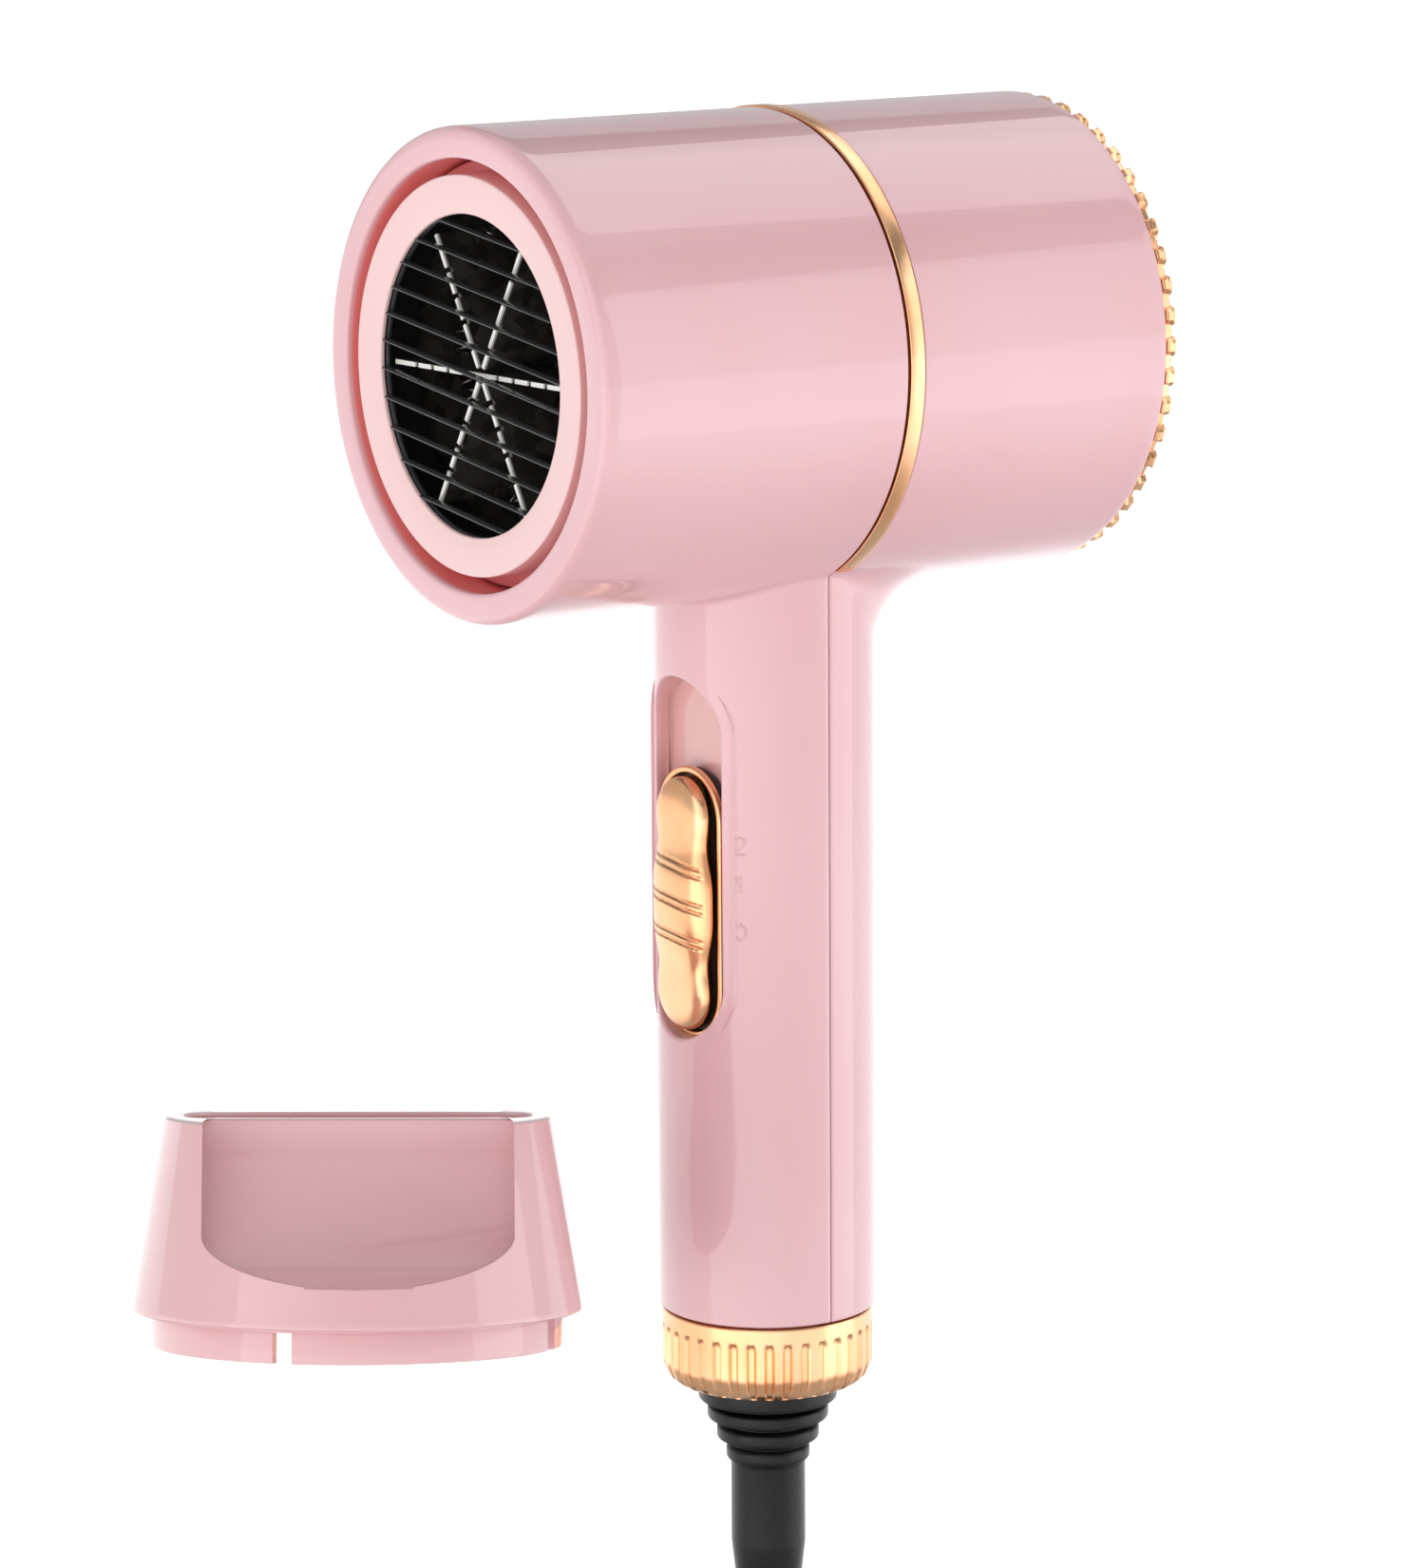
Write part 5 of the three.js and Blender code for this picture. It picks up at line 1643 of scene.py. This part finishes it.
def quarter(z):
    """One quarter of the outside at each height: the flat, the step, the arc."""
    z = z[:, None]
    radius, side = cone_radius(z), scoop_side(z)
    flat_x = side * np.linspace(0, 1, 34)[None, :] ** 0.9
    flat_y = np.minimum(np.sqrt(radius**2 - flat_x**2), scoop_face(z))
    top_y = np.sqrt(radius**2 - side**2)
    step_y = flat_y[:, -1:] + (top_y - flat_y[:, -1:]) * np.linspace(0, 1, 8)[None, 1:]
    start = np.arctan2(top_y, side)
    arc = start * np.linspace(1, 0, 24)[None, 1:]
    x = np.concatenate([flat_x, side + 0 * step_y, radius * np.cos(arc)], axis=1)
    y = np.concatenate([flat_y, step_y, radius * np.sin(arc)], axis=1)
    return x, y


def hollow_quarter(z, turn_to):
    """Superellipse |x/wide|^p + |y/deep|^p = 1 with p from 2 at the foot to 3.3 at the slot."""
    z = z[:, None]
    wide = np.minimum(cone_radius(z) - NOZZLE_WALL, SKIRT_BORE) - 1.2 * smooth(3, 8, z)
    wall_depth = np.where(z > 6.4, scoop_face(z) - NOZZLE_WALL, SKIRT_BORE)
    deep = np.maximum(np.minimum(wide, wall_depth - 0.6), 4)
    squareness = 1 - 0.4 * np.clip(z / 12, 0, 1)
    return wide * np.cos(turn_to) ** squareness, deep * np.sin(turn_to) ** squareness


def four_quarters(x, y):
    """A quarter mirrored into a whole closed row."""
    xs = np.concatenate([x, x[:, -2::-1], -x[:, 1:], -x[:, -2:0:-1]], axis=1)
    ys = np.concatenate([y, -y[:, -2::-1], -y[:, 1:], y[:, -2:0:-1]], axis=1)
    return xs, ys


# %% Nozzle
def nozzle_mesh():
    """Sections from foot to slot outside, a rounded lip, the hollow back down, and the skirt."""
    fine = np.arange(5.4, 13, 0.1)
    straight = np.linspace(13, NOZZLE_HEIGHT - 0.3, 40)
    z = np.concatenate([[0, 0.25, 0.6], np.arange(1, 5.4, 0.8), fine, straight])
    x, y = quarter(z)
    xs, ys = four_quarters(x, y)
    tuck = np.interp(z, [0, 0.25, 0.6, 50], [0.4, 0.12, 0, 0])[:, None]
    shrink = 1 - tuck / np.hypot(xs, ys)
    outside = stack(xs * shrink, ys * shrink, z[:, None])
    rim_x, rim_y = four_quarters(*quarter(np.array([NOZZLE_HEIGHT])))
    columns = np.interp(np.arange(x.shape[1]), [0, 33, 40, 63], [pi / 2, 0.83, 0.6, 0])
    levels = np.linspace(NOZZLE_HEIGHT, 0.2, 60)
    hole_x, hole_y = four_quarters(*hollow_quarter(levels, columns[None, :]))
    lip = []
    for share, drop in ((0.1, 0.06), (0.22, 0), (0.78, 0), (0.93, 0.1), (1, 0.45)):
        ring_x = rim_x[0] * (1 - share) + hole_x[0] * share
        ring_y = rim_y[0] * (1 - share) + hole_y[0] * share
        lip.append(stack(ring_x, ring_y, NOZZLE_HEIGHT - drop))
    inside = stack(hole_x, hole_y, levels[:, None] - 0.45 * (levels[:, None] > NOZZLE_HEIGHT - 0.4))
    round_by = np.arctan2(ys[0], xs[0])
    foot = []
    for radius, level in ((SKIRT_BORE, 0.1), (SKIRT_BORE, -0.6), (SKIRT_R, -0.6), (SKIRT_R, 0)):
        foot.append(stack(radius * np.cos(round_by), radius * np.sin(round_by), level))
    rows = np.concatenate([outside, lip, inside[1:], foot, outside[:1]])
    skin = Skin().grid(rows, closed=True)

    # the skirt's four tongues, which push into the groove round the outlet
    tongue = closed_section([[SKIRT_BORE, SKIRT_FOOT], [SKIRT_R, SKIRT_FOOT], [SKIRT_R, -0.5],
                             [SKIRT_BORE, -0.5]], 0.3)[:-1]
    ends = np.radians(SKIRT_SLITS)
    gap = 1.5 / SKIRT_R
    for low, high in zip(ends, ends[1:]):
        turn_to = np.linspace(low + gap, high - gap, 40)[:, None]
        r = tongue[None, :, 0]
        skin.tube(stack(r * np.cos(turn_to), r * np.sin(turn_to), tongue[None, :, 1]))
    return skin


def stand_nozzle(skin):
    """Rolled a little, leant back along the slot, turned about the vertical, set in place."""
    mesh = skin.mesh("nozzle_body")
    turned_by = Matrix.Rotation(NOZZLE_TURN, 4, "Z") @ Matrix.Rotation(NOZZLE_TILT, 4, "X")
    turned_by = turned_by @ Matrix.Rotation(NOZZLE_ROLL, 4, "Y")
    mesh.transform(Matrix.Translation(NOZZLE_PLACE) @ turned_by)
    return mesh


put("nozzle_body", stand_nozzle(nozzle_mesh()), PINK_WARM, "nozzle",
    ["concentrator_nozzle"], crease=30)

# %% [markdown]
# ## Parts that stay as they were drawn
#
# Plain metal cans, boards, leads and the inner tubes are simple turned or bent
# parts. Their shape is already right, so they keep it and only get a finish.

# %% Finishes of the inner parts
KEPT_AS_DRAWN = [
    (MICA, ["mica_tube"]),
    (STEEL, ["thermostat", "motor_can", "motor_shaft", "clamp_screw_1", "clamp_screw_2"]),
    (WHITE_PLASTIC, ["thermal_fuse", "motor_endcap", "cord_clamp", "neutral_wire"]),
    (BLACK_NYLON, ["fan_duct"]),
    (BLACK_PLASTIC, ["bridge_rectifier", "switch_body"]),
    (GREEN_BOARD, ["rectifier_board"]),
    (BLACK_RUBBER, ["cord_stub"]),
    (BLUE_LEAD, ["live_wire", "heater_wire"]),
]
for material, names in KEPT_AS_DRAWN:
    for name in names:
        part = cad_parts[name]
        part.data.materials.clear()
        part.data.materials.append(material)
    print(material.name, "on", names)

# %% [markdown]
# ## Light and floor
#
# Glossy plastic and plating look like whatever stands round them, so the lights
# are large panels and their edges are the stripes on the handle and the barrel.
# A broad panel in front fades out towards one side, an upright one stands at the
# side, and a strip hangs overhead. A darker ring in the sky gives the plating its
# deep tones. The floor is pale grey near the dryer and glows white further out. Seen
# from a little above, it fills the view; seen almost level, the grey sky shows
# behind it.

# %% Floor
def flat_disc(name, radius, level):
    """A circle with triangles to its middle, marked as part of the stage."""
    angle = np.linspace(0, 2 * pi, 96, endpoint=False)
    ring = stack(radius * np.cos(angle), radius * np.sin(angle), level)
    made = bpy.data.objects.new(name, Skin().lid(ring).mesh(name, 1))
    bpy.context.scene.collection.objects.link(made)
    return made


floor_level = cad_box[0][2] / MM - 30
floor = flat_disc("floor", 16000, floor_level)
white = Finish("floor", {"Roughness": 0.9, "Emission Strength": 0.8})
out_x, out_y = white.axes()[:2]
spread = ((out_x * out_x + out_y * out_y) ** 0.5).rise(0.40, 0.95)
white.feed("Base Color", white.mix(spread, (0.50, 0.49, 0.49, 1), (0.90, 0.90, 0.90, 1)))
white.feed("Emission Color", white.mix(spread, (0.12, 0.12, 0.12, 1), (1, 1, 1, 1)))
floor.data.materials.append(white.material)
print("floor at", floor_level, "mm")


# %% Light panels
def panel(name, centre, aim, across, size, strength, fade=0.0):
    """A rectangle that shines from its centre towards the aim; fade dims it along its width."""
    lamp = bpy.data.lights.new(name, "AREA")
    lamp.shape = "RECTANGLE"
    lamp.size, lamp.size_y = size
    lamp.energy = strength * size[0] * size[1] * pi
    lamp.use_nodes = True
    nodes, links = lamp.node_tree.nodes, lamp.node_tree.links
    split = nodes.new("ShaderNodeSeparateXYZ")
    place_node = nodes.new("ShaderNodeNewGeometry")
    links.new(place_node.outputs["Parametric"], split.inputs[0])
    level = nodes.new("ShaderNodeMath")
    level.operation = "MULTIPLY_ADD"
    links.new(split.outputs[0], level.inputs[0])
    level.inputs[1].default_value = -fade
    level.inputs[2].default_value = 1
    links.new(level.outputs[0], nodes["Emission"].inputs["Strength"])
    back = (Vector(centre) - Vector(aim)).normalized()
    side = Vector(across).normalized()
    side = (side - back * side.dot(back)).normalized()
    turned_by = Matrix((side, back.cross(side), back)).transposed().to_4x4()
    made = bpy.data.objects.new(name, lamp)
    made.matrix_world = Matrix.Translation(centre) @ turned_by
    bpy.context.scene.collection.objects.link(made)
    return made


panel("front_panel", (0.588, -0.82, 0.20), (0, 0, 0.20), (1.576, 1.129, 0), (1.94, 1.3), 1.35, 1.0)
panel("side_panel", (0.78, 0.945, 0.225), (0, 0.15, 0.225), (-0.669, 0.55, 0), (0.866, 1.31), 1.1)
panel("top_strip", (-0.14, 1.0, 1.3), (0, 0, 0.09), (1, 0, 0), (1.3, 0.8), 1.2)
print("three light panels")

# %% Sky
world = bpy.data.worlds.new("studio")
bpy.context.scene.world = world
world.use_nodes = True
sky, sky_links = world.node_tree.nodes, world.node_tree.links
where = sky.new("ShaderNodeTexCoord")
height = sky.new("ShaderNodeSeparateXYZ")
ramp = sky.new("ShaderNodeValToRGB")
sky_links.new(where.outputs["Generated"], height.inputs[0])
sky_links.new(height.outputs[2], ramp.inputs[0])
SKY = [(0.0, 0.60), (0.50, 0.60), (0.53, 0.15), (0.70, 0.15), (0.74, 0.60), (1.0, 0.70)]
while len(ramp.color_ramp.elements) < len(SKY):
    ramp.color_ramp.elements.new(0.5)
for element, (at, grey) in zip(ramp.color_ramp.elements, SKY):
    element.position = at
    element.color = (grey, grey, grey, 1)
sky_links.new(ramp.outputs[0], sky["Background"].inputs["Color"])
sky["Background"].inputs["Strength"].default_value = 1.0
bpy.context.scene.view_settings.view_transform = "Standard"
